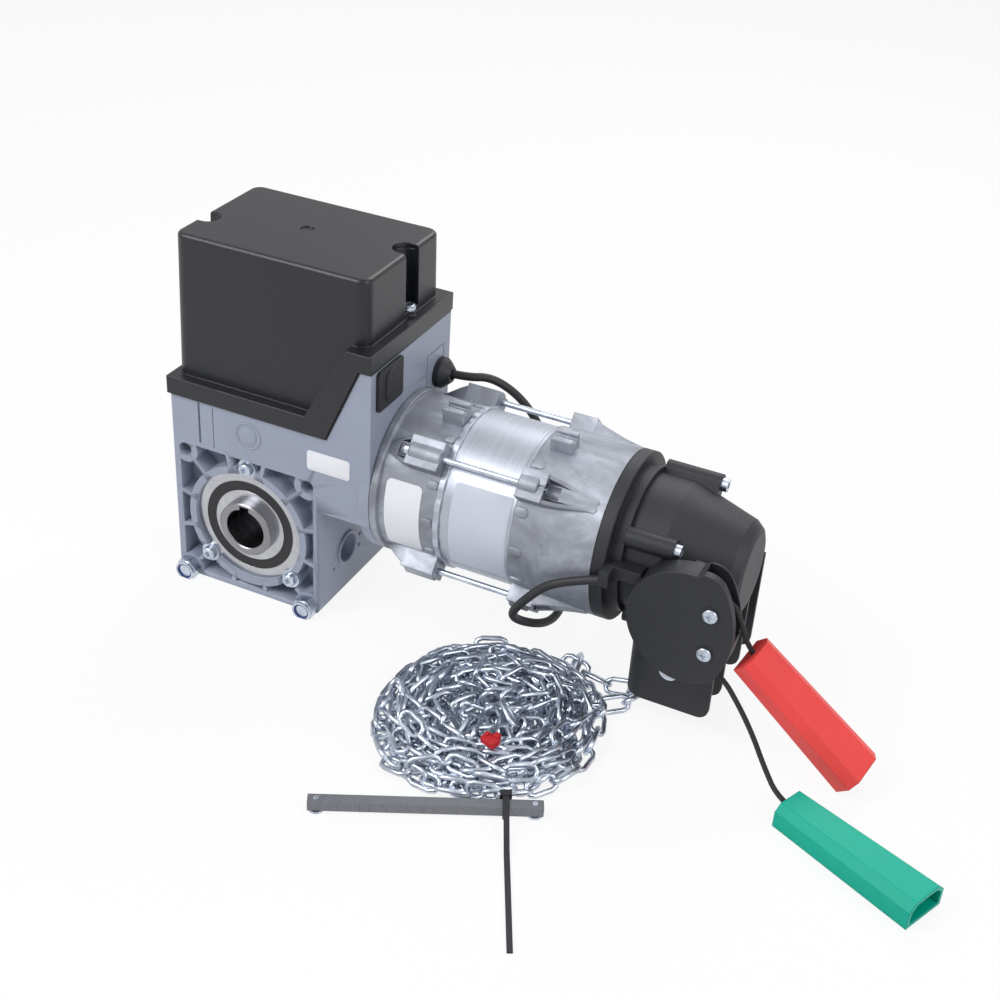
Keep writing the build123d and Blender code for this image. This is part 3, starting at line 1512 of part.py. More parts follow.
# Safety switch cable: out of the gland, behind and under the motor, up to the end ring
cable_end_x = casting_rear_end_x + ring_width + 3.0
cable_points = [
    (64.0, gland_place[0], gland_place[1]),
    (97.5, gland_place[0], gland_place[1]),
    (113.0, 93.0, 90.5),
    (133.0, 104.5, 70.0),
    (152.0, 105.0, 35.0),
    (169.0, 93.0, -2.5),
    (183.0, 60.0, -18.0),
    (189.0, 24.0, -18.0),
    (173.5, -8.5, 3.5),
    (186.0, -10.0, 23.5),
    (201.0, -7.5, 38.5),
    (cable_end_x, -5.6, 47.0),
]
with BuildPart() as switch_cable:
    with BuildLine() as cable_path:
        route(cable_points, cable_radius)
    with BuildSketch(Plane(origin=cable_path.line @ 0, z_dir=cable_path.line % 0)):
        Circle(cable_radius)
    sweep(path=cable_path.line)
    add(release_base.part, mode=Mode.SUBTRACT)
save(switch_cable, "switch_cable")

# Heap of chain on the floor, with its clip
heap_outline = (
    (117, -69), (113, -50), (121, -24), (120, -5), (127, 8), (149, 14), (171, 23), (194, 29), (214, 26),
    (229, 5), (242, -30), (241, -58), (234, -83), (214, -94), (185, -105), (168, -111), (147, -108), (130, -92),
)
heap_centre = (180, -42)
heap_height = 22.0
heap_top = 0.78
with BuildPart() as heap_form:
    with BuildSketch(Plane.XY.offset(floor_z)):
        with BuildLine():
            Polyline(*heap_outline, close=True)
        make_face()
    with BuildSketch(Plane.XY.offset(floor_z + heap_height)):
        with BuildLine():
            Polyline(
                *[tuple(c + heap_top * (v - c) for v, c in zip(p, heap_centre)) for p in heap_outline],
                close=True,
            )
        make_face()
    loft()

# Flat shaft key with two small screws, on the strap of a cable tie
strap = 1.1
strap_width = 3.4
key_centre = (182.5, -116.6)
key_angle = 26.57
key_z = floor_z + strap + key_side / 2
key_plane = Plane(origin=(key_centre[0], key_centre[1], key_z)).rotated((0, 0, key_angle))
key_screw_radius = 1.5
key_screw_head_radius = 4.2
key_screw_places = ((-key_length / 2 + 4.5, 0), (key_length / 2 - 4.5, 0))
with BuildPart() as shaft_key:
    with BuildSketch(key_plane.offset(-key_side / 2)):
        Rectangle(key_length, key_side)
    extrude(amount=key_side)
    chamfer(shaft_key.edges(), length=0.3)
    with BuildSketch(key_plane.offset(-key_side / 2)):
        with Locations(*key_screw_places):
            Circle(key_screw_radius)
    extrude(amount=key_side, mode=Mode.SUBTRACT)
save(shaft_key, "shaft_key")

with BuildPart() as key_screws:
    with BuildSketch(key_plane.offset(-key_side / 2 - strap)):
        with Locations(*key_screw_places):
            Circle(key_screw_head_radius)
    extrude(amount=strap)
    with BuildSketch(key_plane.offset(-key_side / 2)):
        with Locations(*key_screw_places):
            Circle(key_screw_radius)
    extrude(amount=key_side + 0.4)
save(key_screws, "key_screws")

tie_along_key = 41.0
tie_plane = Plane(
    origin=key_plane.from_local_coords(Vector(tie_along_key, 0, floor_z - key_z)),
    x_dir=key_plane.y_dir * -1,
    z_dir=key_plane.x_dir * -1,
)
tie_near = -key_side / 2 - running_gap
tie_far = key_side / 2 + running_gap
tie_top = strap + key_side
tie_length = 92.0
with BuildPart() as cable_tie:
    with BuildSketch(tie_plane):
        with BuildLine():
            Polyline(
                (tie_near - strap, 0),
                (tie_far + strap, 0),
                (tie_far + strap, tie_top + strap),
                (tie_near - strap, tie_top + strap),
                close=True,
            )
        make_face()
        with BuildLine():
            Polyline(
                (tie_near, strap),
                (tie_far, strap),
                (tie_far, tie_top),
                (tie_near, tie_top),
                close=True,
            )
        make_face(mode=Mode.SUBTRACT)
    extrude(amount=strap_width / 2, both=True)
    with BuildSketch(tie_plane):
        with BuildLine():
            Polyline(
                (tie_near - strap - 4.2, 0.4),
                (tie_near - strap, 0.4),
                (tie_near - strap, tie_top + strap + 0.6),
                (tie_near - strap - 4.2, tie_top + strap + 0.6),
                close=True,
            )
        make_face()
    extrude(amount=3.1, both=True)
    with BuildSketch(tie_plane):
        with BuildLine():
            Polyline(
                (tie_far + strap, tie_top),
                (tie_far + strap, tie_top + strap),
                (28, strap + 0.3),
                (tie_length, strap),
                (tie_length, 0),
                (28, 0),
                close=True,
            )
        make_face()
    extrude(amount=strap_width / 2 - 0.2, both=True)
save(cable_tie, "cable_tie")

# Hand chain: over the wheel, down both channels and along the floor into the heap
chain_floor_z = floor_z + chain_tube_radius + 0.2
wheel_run = chain_pitch_radius + chain_gap
front_strand = motor_y - wheel_run
rear_strand = motor_y + wheel_run
with BuildPart() as hand_chain:
    with BuildLine() as chain_path:
        FilletPolyline(
            (218.0, 20.6, chain_floor_z),
            (chain_wheel_x, front_strand, chain_floor_z),
            (chain_wheel_x, front_strand, motor_z),
            radius=10.5,
        )
        ThreePointArc(
            (chain_wheel_x, front_strand, motor_z),
            (chain_wheel_x, motor_y, motor_z + wheel_run),
            (chain_wheel_x, rear_strand, motor_z),
        )
        FilletPolyline(
            (chain_wheel_x, rear_strand, motor_z),
            (chain_wheel_x, rear_strand, chain_floor_z),
            (228, 56, chain_floor_z),
            (205.5, 26.7, chain_floor_z),
            radius=[10.5, 30.0],
        )
    with BuildSketch(Plane(origin=chain_path.line @ 0, z_dir=chain_path.line % 0)):
        Circle(chain_tube_radius)
    sweep(path=chain_path.line)
save(hand_chain, "hand_chain")

with BuildPart() as chain_pile:
    add(heap_form.part)
    add(hand_chain.part, mode=Mode.SUBTRACT)
    add(shaft_key.part, mode=Mode.SUBTRACT)
    add(cable_tie.part, mode=Mode.SUBTRACT)
save(chain_pile, "chain_pile")

with BuildPart() as chain_clip:
    with BuildSketch(Plane.XY.offset(floor_z + heap_height)):
        with Locations((198, -75)):
            RectangleRounded(9, 6, 1)
    extrude(amount=4)
save(chain_clip, "chain_clip")
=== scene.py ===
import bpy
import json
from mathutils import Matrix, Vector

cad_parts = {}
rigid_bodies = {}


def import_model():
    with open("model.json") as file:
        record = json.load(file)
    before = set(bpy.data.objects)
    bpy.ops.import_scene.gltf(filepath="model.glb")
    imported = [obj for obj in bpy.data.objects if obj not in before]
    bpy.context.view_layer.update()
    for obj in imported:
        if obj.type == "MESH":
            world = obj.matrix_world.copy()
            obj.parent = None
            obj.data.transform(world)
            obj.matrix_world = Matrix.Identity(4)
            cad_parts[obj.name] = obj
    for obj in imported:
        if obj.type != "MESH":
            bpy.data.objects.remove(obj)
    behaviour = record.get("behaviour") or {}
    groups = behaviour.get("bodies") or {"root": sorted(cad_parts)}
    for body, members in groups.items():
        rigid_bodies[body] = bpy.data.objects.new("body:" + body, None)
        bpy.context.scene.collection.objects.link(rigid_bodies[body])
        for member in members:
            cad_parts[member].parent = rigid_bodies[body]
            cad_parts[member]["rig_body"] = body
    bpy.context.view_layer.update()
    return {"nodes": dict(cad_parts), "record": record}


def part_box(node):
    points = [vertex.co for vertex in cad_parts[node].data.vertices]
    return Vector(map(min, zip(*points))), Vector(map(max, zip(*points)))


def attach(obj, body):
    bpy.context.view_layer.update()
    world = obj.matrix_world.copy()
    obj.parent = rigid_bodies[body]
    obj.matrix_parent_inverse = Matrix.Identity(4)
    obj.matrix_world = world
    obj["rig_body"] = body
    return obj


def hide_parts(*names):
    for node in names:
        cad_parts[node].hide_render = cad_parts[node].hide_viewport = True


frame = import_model()

import json
import math

import bmesh
import bpy
import numpy as np
from bpy.props import FloatProperty, FloatVectorProperty, IntProperty, PointerProperty
from mathutils import Matrix, Vector

bl_info = {
    "name": "Industrial door operator",
    "version": (1, 0, 0),
    "blender": (4, 5, 0),
    "location": "3D View > Sidebar > Door operator",
    "description": "Dresses the packed door operator with its castings' details, chain, cords, plates and finishes",
    "category": "Object",
}

MM = 0.001
FULL_TURN = 2 * math.pi

# The motor's axis and the floor in millimetres, and the angles of the motor's four rods
AXIS_Y = 46.9
AXIS_Z = 43.0
MOTOR = (0.0, AXIS_Y, AXIS_Z)
FLOOR_Z = -46.4
CORNERS = (45, 135, 225, 315)

# The camera that was fitted to the photograph: its directions, and its place in metres
CAMERA_RIGHT = (0.9013, 0.42943, 0.05694)
CAMERA_BACK = (0.33454, -0.77352, 0.53828)
CAMERA_PLACE = (0.44329, -0.65083, 0.52523)

# Routes of the free cords, in metres, as in the part's source
RED_ROUTE = (
    (0.2680, 0.0015, 0.0470), (0.2930, 0.0018, 0.0570), (0.3015, 0.0056, 0.0365),
    (0.3052, 0.0072, 0.0244), (0.3135, 0.0069, 0.0170),
)
GREEN_ROUTE = (
    (0.2669, 0.0006, 0.0213), (0.2945, 0.0002, 0.0075), (0.3090, -0.0040, -0.0070),
    (0.3200, -0.0095, -0.0185), (0.3290, -0.0125, -0.0330), (0.3420, -0.0260, -0.0395),
    (0.3558, -0.0321, -0.0395),
)
CABLE_ROUTE = (
    (0.0640, 0.0814, 0.0907), (0.0975, 0.0814, 0.0907), (0.1130, 0.0930, 0.0905),
    (0.1330, 0.1045, 0.0700), (0.1520, 0.1050, 0.0350), (0.1690, 0.0930, -0.0025),
    (0.1830, 0.0600, -0.0180), (0.1890, 0.0240, -0.0180), (0.1735, -0.0085, 0.0035),
    (0.1860, -0.0100, 0.0235), (0.2010, -0.0075, 0.0385), (0.2274, -0.0056, 0.0470),
)

# Outline and middle of the chain heap on the floor, in millimetres
HEAP_OUTLINE = (
    (117, -69), (113, -50), (127, -24), (120, -5), (127, 8), (149, 14), (171, 23), (194, 29), (214, 26),
    (229, 5), (242, -30), (241, -58), (234, -83), (214, -94), (185, -105), (168, -117), (147, -110), (140, -88),
)
HEAP_CENTRE = (180.0, -42.0)

# The gearcase in millimetres: small holes and large port (y, z), and the sections of the turned rings
CASE_HOLES = ((17.4, -23.5), (46.9, -22.8), (48.2, -15.2))
CASE_PORT = (32.2, -16.0)
PORT_RIM = ((10.9, -0.6), (10.9, 0.9), (10.4, 1.3), (9.4, 1.3), (8.9, 0.9), (8.7, -0.6))
ROUND_BOSS = (2.7, 63.7)
BOSS_RING = ((8.6, -0.3), (8.6, 0.35), (8.3, 0.55), (7.8, 0.55), (7.5, 0.35), (7.5, -0.3))
# Middle (y, z), width and height of the three grooves beside the cable gland
GLAND_GROOVES = ((66.0, 97.0, 0.9, 20.0), (86.0, 97.0, 0.9, 20.0), (76.0, 107.0, 20.9, 0.9))

# The motor in millimetres. Fins: places along it, foot, crests, and offsets from the lug's middle
FRONT_FIN = ((87.0, 92.0, 98.0, 103.0), 45.5, (47.0, 49.4, 52.9, 55.6), (2.0, 4.2, 6.4, 7.3))
REAR_FIN = ((183.5, 190.0, 200.0, 213.0), 47.5, (55.6, 53.6, 51.2, 49.0), (7.3, 6.6, 4.6, 1.8))
# Tubes over the rods: distance from the axis, start along it, and pairs of a radius and a height
ROD_REACH = 52.6
FRONT_TUBE = (103.0, ((5.2, 0.0), (6.0, 1.0), (6.0, 18.6), (5.4, 19.3)))
REAR_TUBE = (169.1, ((5.4, 0.0), (6.0, 0.7), (6.0, 10.6), (5.6, 11.0)))
SLOTTED_BLOCK_ANGLE = 99
TAB_ANGLES = (152, 180, 208, 118, 252, 72, 288, 0)
# Sections of the turned rings: distance from the axis and place along it, and how far the notches reach
FRONT_RIM = ((46.2, 82.6), (48.4, 82.6), (48.7, 83.0), (48.7, 86.6), (48.3, 87.1), (46.2, 87.1))
REAR_BAND = ((46.0, 166.4), (47.4, 166.4), (47.7, 166.8), (47.7, 168.6), (47.4, 169.0), (46.0, 169.0))
NOTCHED_BAND = (
    (46.0, 122.4, 0), (47.5, 122.4, 1), (47.8, 122.8, 1), (47.8, 125.8, 1), (47.4, 126.2, 1), (46.0, 126.2, 0),
)

# Screws that show, in millimetres: bearing screws' angles and circle, release lid (x, z), hood (x, y, z)
BEARING_SCREW_ANGLES = (90, 225, 315)
BEARING_SCREW_CIRCLE = 40
LID_SCREWS = ((286.5, 45.7), (286.4, 20.9))
HOOD_SCREWS = ((-41.0, 35.6, 91.2), (73.6, 57.0, 139.2))

# The chain wheel's place along the motor and the middle of the chain on it, in millimetres
WHEEL_X = 248.0
WHEEL_REACH = 27.4


def length(name, description, default):
    """A size in metres that a user may change."""
    return FloatProperty(name=name, description=description, default=default, unit="LENGTH", precision=5)


def colour(name, description, default):
    """A linear colour that a user may change."""
    return FloatVectorProperty(
        name=name, description=description, default=default, size=3, min=0, max=1, subtype="COLOR"
    )


class OperatorColours(bpy.types.PropertyGroup):
    """Colours of the finishes."""

    case: colour("Gearcase", "Grey coat on the gearcase", (0.30, 0.33, 0.415))
    hood: colour("Hood", "Black moulded hood", (0.009, 0.010, 0.014))
    unit: colour("Chain unit", "Black grained plastic of the chain unit", (0.012, 0.013, 0.018))
    casting: colour("Motor castings", "Raw die cast aluminium", (0.36, 0.38, 0.43))
    shell: colour("Stator shell", "Turned aluminium", (0.50, 0.53, 0.60))
    zinc: colour("Zinc", "Plated screws and chain", (0.56, 0.61, 0.70))
    red: colour("Red handle", "Red pull handle", (0.83, 0.072, 0.066))
    green: colour("Green handle", "Green pull handle", (0.0, 0.40, 0.28))
    clip: colour("Chain clip", "Red clip that closes the chain", (0.50, 0.012, 0.018))
    insert: colour("Nut inserts", "Blue nylon rings of the lock nuts", (0.012, 0.045, 0.20))
    plate: colour("Plates", "White bare plates", (0.78, 0.79, 0.82))
    foil: colour("Motor plates", "Silver bare plates on the motor", (0.56, 0.59, 0.67))
    floor: colour("Floor", "Pale floor", (0.86, 0.86, 0.87))


class ChainSizes(bpy.types.PropertyGroup):
    """Sizes of the hand chain."""

    link_length: length("Link length", "Outer length of one link", 0.0215)
    link_width: length("Link width", "Outer width of one link", 0.0112)
    wire: length("Wire", "Thickness of the links' wire", 0.0030)
    heap_links: IntProperty(name="Links in the heap", description="Number of links lying in the heap", default=350)
    spacing: length("Heap spacing", "Least distance between the middles of two links that cross", 0.0086)


class CordSizes(bpy.types.PropertyGroup):
    """Sizes of the cords and the cable."""

    pull_cord: length("Pull cord", "Diameter of the braided pull cords", 0.003)
    cable: length("Switch cable", "Diameter of the black cable", 0.005)
    knot: length("Knot", "Radius of the knot in each handle", 0.003)


class CastingSizes(bpy.types.PropertyGroup):
    """Sizes of what is added on the castings."""

    fin_thickness: length("Fin", "Thickness of the fins beside each lug", 0.0024)
    plate_thickness: length("Plate", "Thickness of the bare plates", 0.0003)
    groove_width: length("Groove", "Width of the grooves in the gearcase", 0.0014)


class StageSettings(bpy.types.PropertyGroup):
    """Camera, floor and lamps."""

    lens: FloatProperty(name="Lens", description="Focal length of the camera in millimetres", default=56.69)
    floor_half: length("Floor", "Half the side of the floor", 3.0)
    key_power: FloatProperty(name="Key lamp", description="Power of the large lamp, in watts", default=12.5)
    fill_power: FloatProperty(name="Fill lamp", description="Power of the lamp at the right, in watts", default=5.0)
    rim_power: FloatProperty(name="Back lamp", description="Power of the lamp behind, in watts", default=6.0)
    sky: FloatProperty(name="Sky", description="Strength of the even light from all sides", default=0.40)


# Shader values


class Value:
    """A socket of a shader, on which Python's operators add Math nodes."""

    def __init__(self, nodes, socket):
        self.nodes = nodes
        self.socket = socket

    def math(self, operation, *values):
        return self.nodes.node("ShaderNodeMath", dict(enumerate(values)), operation=operation)

    def __add__(self, other):
        return self.math("ADD", self, other)

    def __sub__(self, other):
        return self.math("SUBTRACT", self, other)

    def __rsub__(self, other):
        return self.math("SUBTRACT", other, self)

    def __mul__(self, other):
        return self.math("MULTIPLY", self, other)

    def __pow__(self, other):
        return self.math("POWER", self, other)

    def __abs__(self):
        return self.math("ABSOLUTE", self)

    def sine(self):
        return self.math("SINE", self)

    __radd__ = __add__
    __rmul__ = __mul__


class Nodes:
    """A shader tree, with one method that adds any node."""

    def __init__(self, owner):
        owner.use_nodes = True
        self.tree = owner.node_tree
        self.tree.nodes.clear()

    def node(self, kind, inputs, output=0, **settings):
        """Adds a node: its settings first, then its sockets' numbers or links."""
        made = self.tree.nodes.new(kind)
        for key, setting in settings.items():
            setattr(made, key, setting)
        for key, value in inputs.items():
            self.feed(made.inputs[key], value)
        return Value(self, made.outputs[output]) if made.outputs else made

    def feed(self, socket, value):
        if isinstance(value, Value):
            self.tree.links.new(value.socket, socket)
        else:
            socket.default_value = value

    def seen_as(self, plain, pale, share=1.0):
        """Shows this share of the pale shader to the eye, gloss and glass, and the plain one to every other ray."""
        kinds = ("Is Camera Ray", "Is Glossy Ray", "Is Transmission Ray")
        camera, glossy, through = (self.node("ShaderNodeLightPath", {}, output=kind) for kind in kinds)
        seen = (camera + glossy + through) * share
        return self.node("ShaderNodeMixShader", {0: seen, 1: plain, 2: pale})


class Finish(Nodes):
    """One material on the object, with a method for each kind of node that the finishes need."""

    def __init__(self, name, base, metallic=0.0):
        self.material = bpy.data.materials.new(name)
        super().__init__(self.material)
        self.shader = self.tree.nodes.new("ShaderNodeBsdfPrincipled")
        self.plain = Value(self, self.shader.outputs[0])
        self.output = self.node("ShaderNodeOutputMaterial", {0: self.plain})
        self.base = tuple(base)
        self.where = self.node("ShaderNodeTexCoord", {}, output="Object")
        self.set("Metallic", metallic)

    def set(self, name, value):
        self.feed(self.shader.inputs[name], value)

    def stretched(self, *scale):
        """The point on the piece in metres, scaled along each axis."""
        return self.node("ShaderNodeMapping", {"Vector": self.where, "Scale": scale}, vector_type="POINT")

    def noise(self, scale, detail=3.0, roughness=0.55, vector=None, distortion=0.0):
        """Noise from 0 to 1 with this many features to the metre."""
        inputs = {"Scale": scale, "Detail": detail, "Roughness": roughness, "Distortion": distortion}
        return self.node("ShaderNodeTexNoise", {"Vector": vector or self.where, **inputs})

    def cells(self, scale):
        """Distance to the nearest of scattered points."""
        return self.node("ShaderNodeTexVoronoi", {"Vector": self.where, "Scale": scale})

    def part(self, axis, vector=None):
        """One coordinate of the point, 0 for x, 1 for y, 2 for z."""
        return self.node("ShaderNodeSeparateXYZ", {0: vector or self.where}, output=axis)

    def step(self, value, low, high):
        """Rises smoothly from 0 at low to 1 at high."""
        inputs = {"Value": value, "From Min": low, "From Max": high}
        return self.node("ShaderNodeMapRange", inputs, interpolation_type="SMOOTHSTEP")

    def span(self, value, low, high):
        """Moves a value from 0..1 to low..high."""
        return value * (high - low) + low

    def mix(self, mask, first, second):
        """The first colour where the mask is 0, the second where it is 1."""
        return self.node("ShaderNodeMix", {0: mask, 6: first, 7: second}, output=2, data_type="RGBA")

    def shade(self, factor):
        """The base colour made lighter or darker by this factor."""
        return (*[min(1.0, c * factor) for c in self.base], 1.0)

    def rounded(self, radius):
        """The surface's direction with its edges rounded to this radius."""
        return self.node("ShaderNodeBevel", {"Radius": radius}, samples=4)

    def made(self, tint, roughness, height=None, depth=0.0, edges=None):
        """Sets what varies over the surface, with bumps this many metres deep, and returns the material."""
        self.set("Base Color", tint)
        self.set("Roughness", roughness)
        if height is not None:
            inputs = {"Height": height, "Distance": depth, "Strength": 1.0}
            if edges is not None:
                inputs["Normal"] = edges
            self.set("Normal", self.node("ShaderNodeBump", inputs))
        return self.material

    def worn_edges(self, edges):
        """1 on an edge and 0 on a flat: how far the rounded direction leaves the real one."""
        real = self.node("ShaderNodeNewGeometry", {}, output="Normal")
        same = self.node("ShaderNodeVectorMath", {0: edges, 1: real}, output="Value", operation="DOT_PRODUCT")
        return self.step(1 - same, 0.02, 0.25)


def round_the_axis(finish, axis, centre):
    """The distance from an axis along x, y or z through this centre."""
    squares = [(finish.part(k) - centre[k]) ** 2.0 for k in range(3) if k != axis]
    return (squares[0] + squares[1]) ** 0.5


def painted_case(colours):
    """Satin grey coat on cast metal: a fine skin, faint clouds and brighter worn edges."""
    f = Finish("grey coat", colours.case)
    edges = f.rounded(0.0003)
    wear = f.worn_edges(edges) * f.step(f.noise(260.0, 4.0), 0.35, 0.7)
    tint = f.mix(f.noise(28.0), f.shade(0.93), f.shade(1.07))
    tint = f.mix(wear * 0.55, tint, f.shade(1.45))
    return f.made(tint, f.span(f.noise(90.0), 0.34, 0.52), f.noise(1500.0, 2.0, 0.6), 0.00005, edges)


def moulded(name, base, low, high, grain, depth, speck=0.0, radius=0.0006, gloss=0.5):
    """Moulded plastic: a sparked grain that is worn smooth on the edges, with small pale specks if asked."""
    f = Finish(name, base)
    f.set("Specular IOR Level", gloss)
    edges = f.rounded(radius)
    grains = f.cells(grain) * 0.6 + f.noise(grain * 1.7, 2.0) * 0.4
    cloud = f.noise(22.0)
    tint = f.mix(cloud, f.shade(0.88), f.shade(1.12))
    if speck:
        dots = 1 - f.step(f.cells(330.0), 0.04, 0.085)
        dots = dots * f.step(f.noise(120.0), 0.52, 0.6)
        tint = f.mix(dots * speck, tint, (0.55, 0.55, 0.56, 1.0))
    return f.made(tint, f.span(cloud, low, high) - f.worn_edges(edges) * 0.16, grains, depth, edges)


def die_cast(name, base):
    """Raw die cast aluminium: mottled flow marks, dark stains, small pores and bright edges."""
    f = Finish(name, base, 0.75)
    edges = f.rounded(0.0008)
    flow = f.noise(30.0, 5.0, 0.62, vector=f.stretched(0.6, 1.0, 1.0), distortion=1.2)
    mottle = f.noise(150.0, 4.0, 0.6)
    stain = f.step(f.noise(48.0, 5.0, 0.7, distortion=0.6), 0.52, 0.74)
    tint = f.mix(f.step(flow, 0.34, 0.66), f.shade(0.66), f.shade(1.18))
    tint = f.mix(f.step(mottle, 0.35, 0.7) * 0.45, tint, f.shade(0.8))
    tint = f.mix(stain * 0.5, tint, f.shade(0.45))
    tint = f.mix(f.worn_edges(edges) * 0.5, tint, f.shade(1.5))
    pores = f.noise(900.0, 3.0, 0.6)
    return f.made(tint, f.span(mottle, 0.44, 0.66), mottle * 0.6 + pores * 0.4, 0.00012, edges)


def turned(name, base, axis, centre, low=0.22, high=0.38, metallic=0.9, fine=2200.0):
    """Metal turned on a lathe or brushed round: fine lines that follow the axis and the distance from it."""
    f = Finish(name, base, metallic)
    scale = [0.02, 0.02, 0.02]
    scale[axis] = 1.0
    lines = f.noise(fine, 4.0, 0.7, vector=f.stretched(*scale))
    across = round_the_axis(f, axis, centre)
    rings = f.node("ShaderNodeTexNoise", {"W": across * fine, "Scale": 1.0, "Detail": 3.0}, noise_dimensions="1D")
    marks = lines * 0.6 + rings * 0.4
    tint = f.mix(f.step(marks, 0.3, 0.7), f.shade(0.8), f.shade(1.15))
    tint = f.mix(f.noise(35.0, 4.0) * 0.4, tint, f.shade(0.75))
    return f.made(tint, f.span(marks, low, high), marks, 0.00003, f.rounded(0.0005))


def plated(name, base):
    """Zinc plate: bluish and bright, with faint yellow patches and small dents."""
    f = Finish(name, base, 1.0)
    patch = f.noise(110.0, 3.0, 0.6)
    grain = f.noise(1400.0, 2.0)
    tint = f.mix(f.step(patch, 0.35, 0.7), f.shade(0.82), f.shade(1.15))
    tint = f.mix(f.step(grain, 0.55, 0.75) * 0.3, tint, (0.50, 0.49, 0.44, 1.0))
    return f.made(tint, f.span(patch, 0.2, 0.38), grain, 0.00003, f.rounded(0.0003))


def rubber(name, base):
    """Black rubber or cable sheath: dull, faintly cloudy, with a fine grain."""
    f = Finish(name, base)
    cloud = f.noise(60.0)
    tint = f.mix(cloud, f.shade(0.8), f.shade(1.25))
    return f.made(tint, f.span(cloud, 0.42, 0.6), f.noise(2600.0, 2.0), 0.00002, f.rounded(0.0003))


def braided(name, base):
    """Braided cord: two sets of strands that cross, drawn on the cord's own map, which counts strands; its colour
    holds painted shade in the gaps and painted highlight on the strands' crowns.
    """
    f = Finish(name, base)
    where = f.node("ShaderNodeUVMap", {}, uv_map="Weave")
    u, v = f.part(0, where), f.part(1, where)
    strands = abs(((u + v) * math.pi).sine()) * 0.5 + abs(((u - v) * math.pi).sine()) * 0.5
    # Painted shade in the gaps between strands and painted highlight on their crowns, on top of the bumps
    tint = f.mix(strands, f.shade(0.35), f.shade(1.5))
    return f.made(tint, f.span(f.noise(900.0), 0.6, 0.85), strands, 0.00015)


def bare_plate(name, base):
    """A bare printed foil: even, faintly clouded and scuffed."""
    f = Finish(name, base)
    scuff = f.step(f.noise(420.0, 4.0, 0.7), 0.62, 0.8)
    tint = f.mix(f.noise(45.0, 2.0), f.shade(0.96), f.shade(1.03))
    return f.made(tint, f.span(scuff, 0.32, 0.55), f.noise(700.0, 2.0), 0.00001)


def board(name, base):
    """Circuit board: green lacquer over straight tracks."""
    f = Finish(name, base)
    tracks = f.step(abs(f.part(0, f.stretched(420.0, 1, 1)).sine()), 0.8, 0.9)
    tint = f.mix(tracks * f.step(f.noise(60.0), 0.45, 0.55), f.shade(0.8), f.shade(1.5))
    return f.made(tint, f.span(f.noise(200.0), 0.28, 0.42))


FINISHES = {}


def make_finishes(colours):
    """One material for each of the record's slots."""
    motor = (0.0, AXIS_Y * MM, AXIS_Z * MM)
    shaft = (0.0, 0.0, 0.0)
    handle = {"low": 0.36, "high": 0.46, "grain": 1700.0, "depth": 0.00003, "radius": 0.0012, "gloss": 0.2}
    FINISHES.update(
        case_grey=painted_case(colours),
        cast_aluminium=die_cast("raw casting", colours.casting),
        shell_aluminium=turned("turned shell", colours.shell, 0, motor, 0.34, 0.5, 0.85, 1500.0),
        zinc_steel=plated("zinc plate", colours.zinc),
        bearing_steel=turned("bearing steel", (0.52, 0.53, 0.56), 1, shaft, 0.14, 0.26, 1.0),
        shaft_steel=turned("shaft steel", (0.31, 0.31, 0.33), 1, shaft, 0.2, 0.36, 1.0),
        key_steel=turned("key steel", (0.21, 0.217, 0.24), 0, shaft, 0.38, 0.55, 0.75, 1600.0),
        core_steel=turned("core steel", (0.22, 0.22, 0.24), 0, motor, 0.35, 0.55, 0.8, 1800.0),
        bronze=turned("bronze", (0.55, 0.30, 0.10), 1, shaft, 0.25, 0.4, 1.0),
        copper=turned("copper", (0.65, 0.22, 0.10), 0, motor, 0.25, 0.4, 1.0),
        hood_black=moulded("hood plastic", colours.hood, 0.30, 0.40, 1500.0, 0.00005, radius=0.0010),
        unit_black=moulded("chain unit plastic", colours.unit, 0.46, 0.62, 1100.0, 0.00010, 0.22),
        wheel_grey=moulded("wheel plastic", (0.12, 0.12, 0.13), 0.4, 0.55, 1500.0, 0.00006),
        seal_black=rubber("seal rubber", (0.012, 0.012, 0.014)),
        cable_black=rubber("cable sheath", (0.016, 0.016, 0.018)),
        cord_black=braided("braided cord", (0.018, 0.018, 0.020)),
        handle_red=moulded("red plastic", colours.red, **handle),
        handle_green=moulded("green plastic", colours.green, **handle),
        clip_red=moulded("clip plastic", colours.clip, 0.3, 0.4, 1700.0, 0.00003, gloss=0.3),
        insert_blue=moulded("nylon insert", colours.insert, 0.35, 0.45, 1700.0, 0.00003),
        board_green=board("circuit board", (0.01, 0.12, 0.05)),
        plate=bare_plate("bare plate", colours.plate),
        foil=bare_plate("bare foil", colours.foil),
    )


# Shapes


def grid_faces(rows, columns, loop):
    """Four-sided faces between the points of neighbouring rings; each ring is closed, and so is their row if loop."""
    i, j = np.meshgrid(np.arange(rows if loop else rows - 1), np.arange(columns), indexing="ij")
    after, beside = (i + 1) % rows, (j + 1) % columns
    corners = (i * columns + j, i * columns + beside, after * columns + beside, after * columns + j)
    return np.stack(corners, -1).reshape(-1, 4)


def solid(rings, loop=False):
    """A closed surface through rings of points: neighbours join, and end rings close in fans about their middles."""
    rings = np.asarray(rings, float)
    rows, columns = rings.shape[:2]
    points = rings.reshape(-1, 3)
    faces = grid_faces(rows, columns, loop).tolist()
    if loop:
        return points, faces
    turn = np.arange(columns)
    beside = (turn + 1) % columns
    last = (rows - 1) * columns
    first_cap = np.stack((np.full(columns, len(points)), beside, turn), -1)
    last_cap = np.stack((np.full(columns, len(points) + 1), last + turn, last + beside), -1)
    points = np.vstack((points, rings[0].mean(0), rings[-1].mean(0)))
    return points, faces + first_cap.tolist() + last_cap.tolist()


def joined(solids):
    """Several solids as one list of points and one of faces."""
    points, faces, base = [], [], 0
    for some_points, some_faces in solids:
        points.append(some_points)
        faces += [[base + k for k in face] for face in some_faces]
        base += len(some_points)
    return np.vstack(points), faces


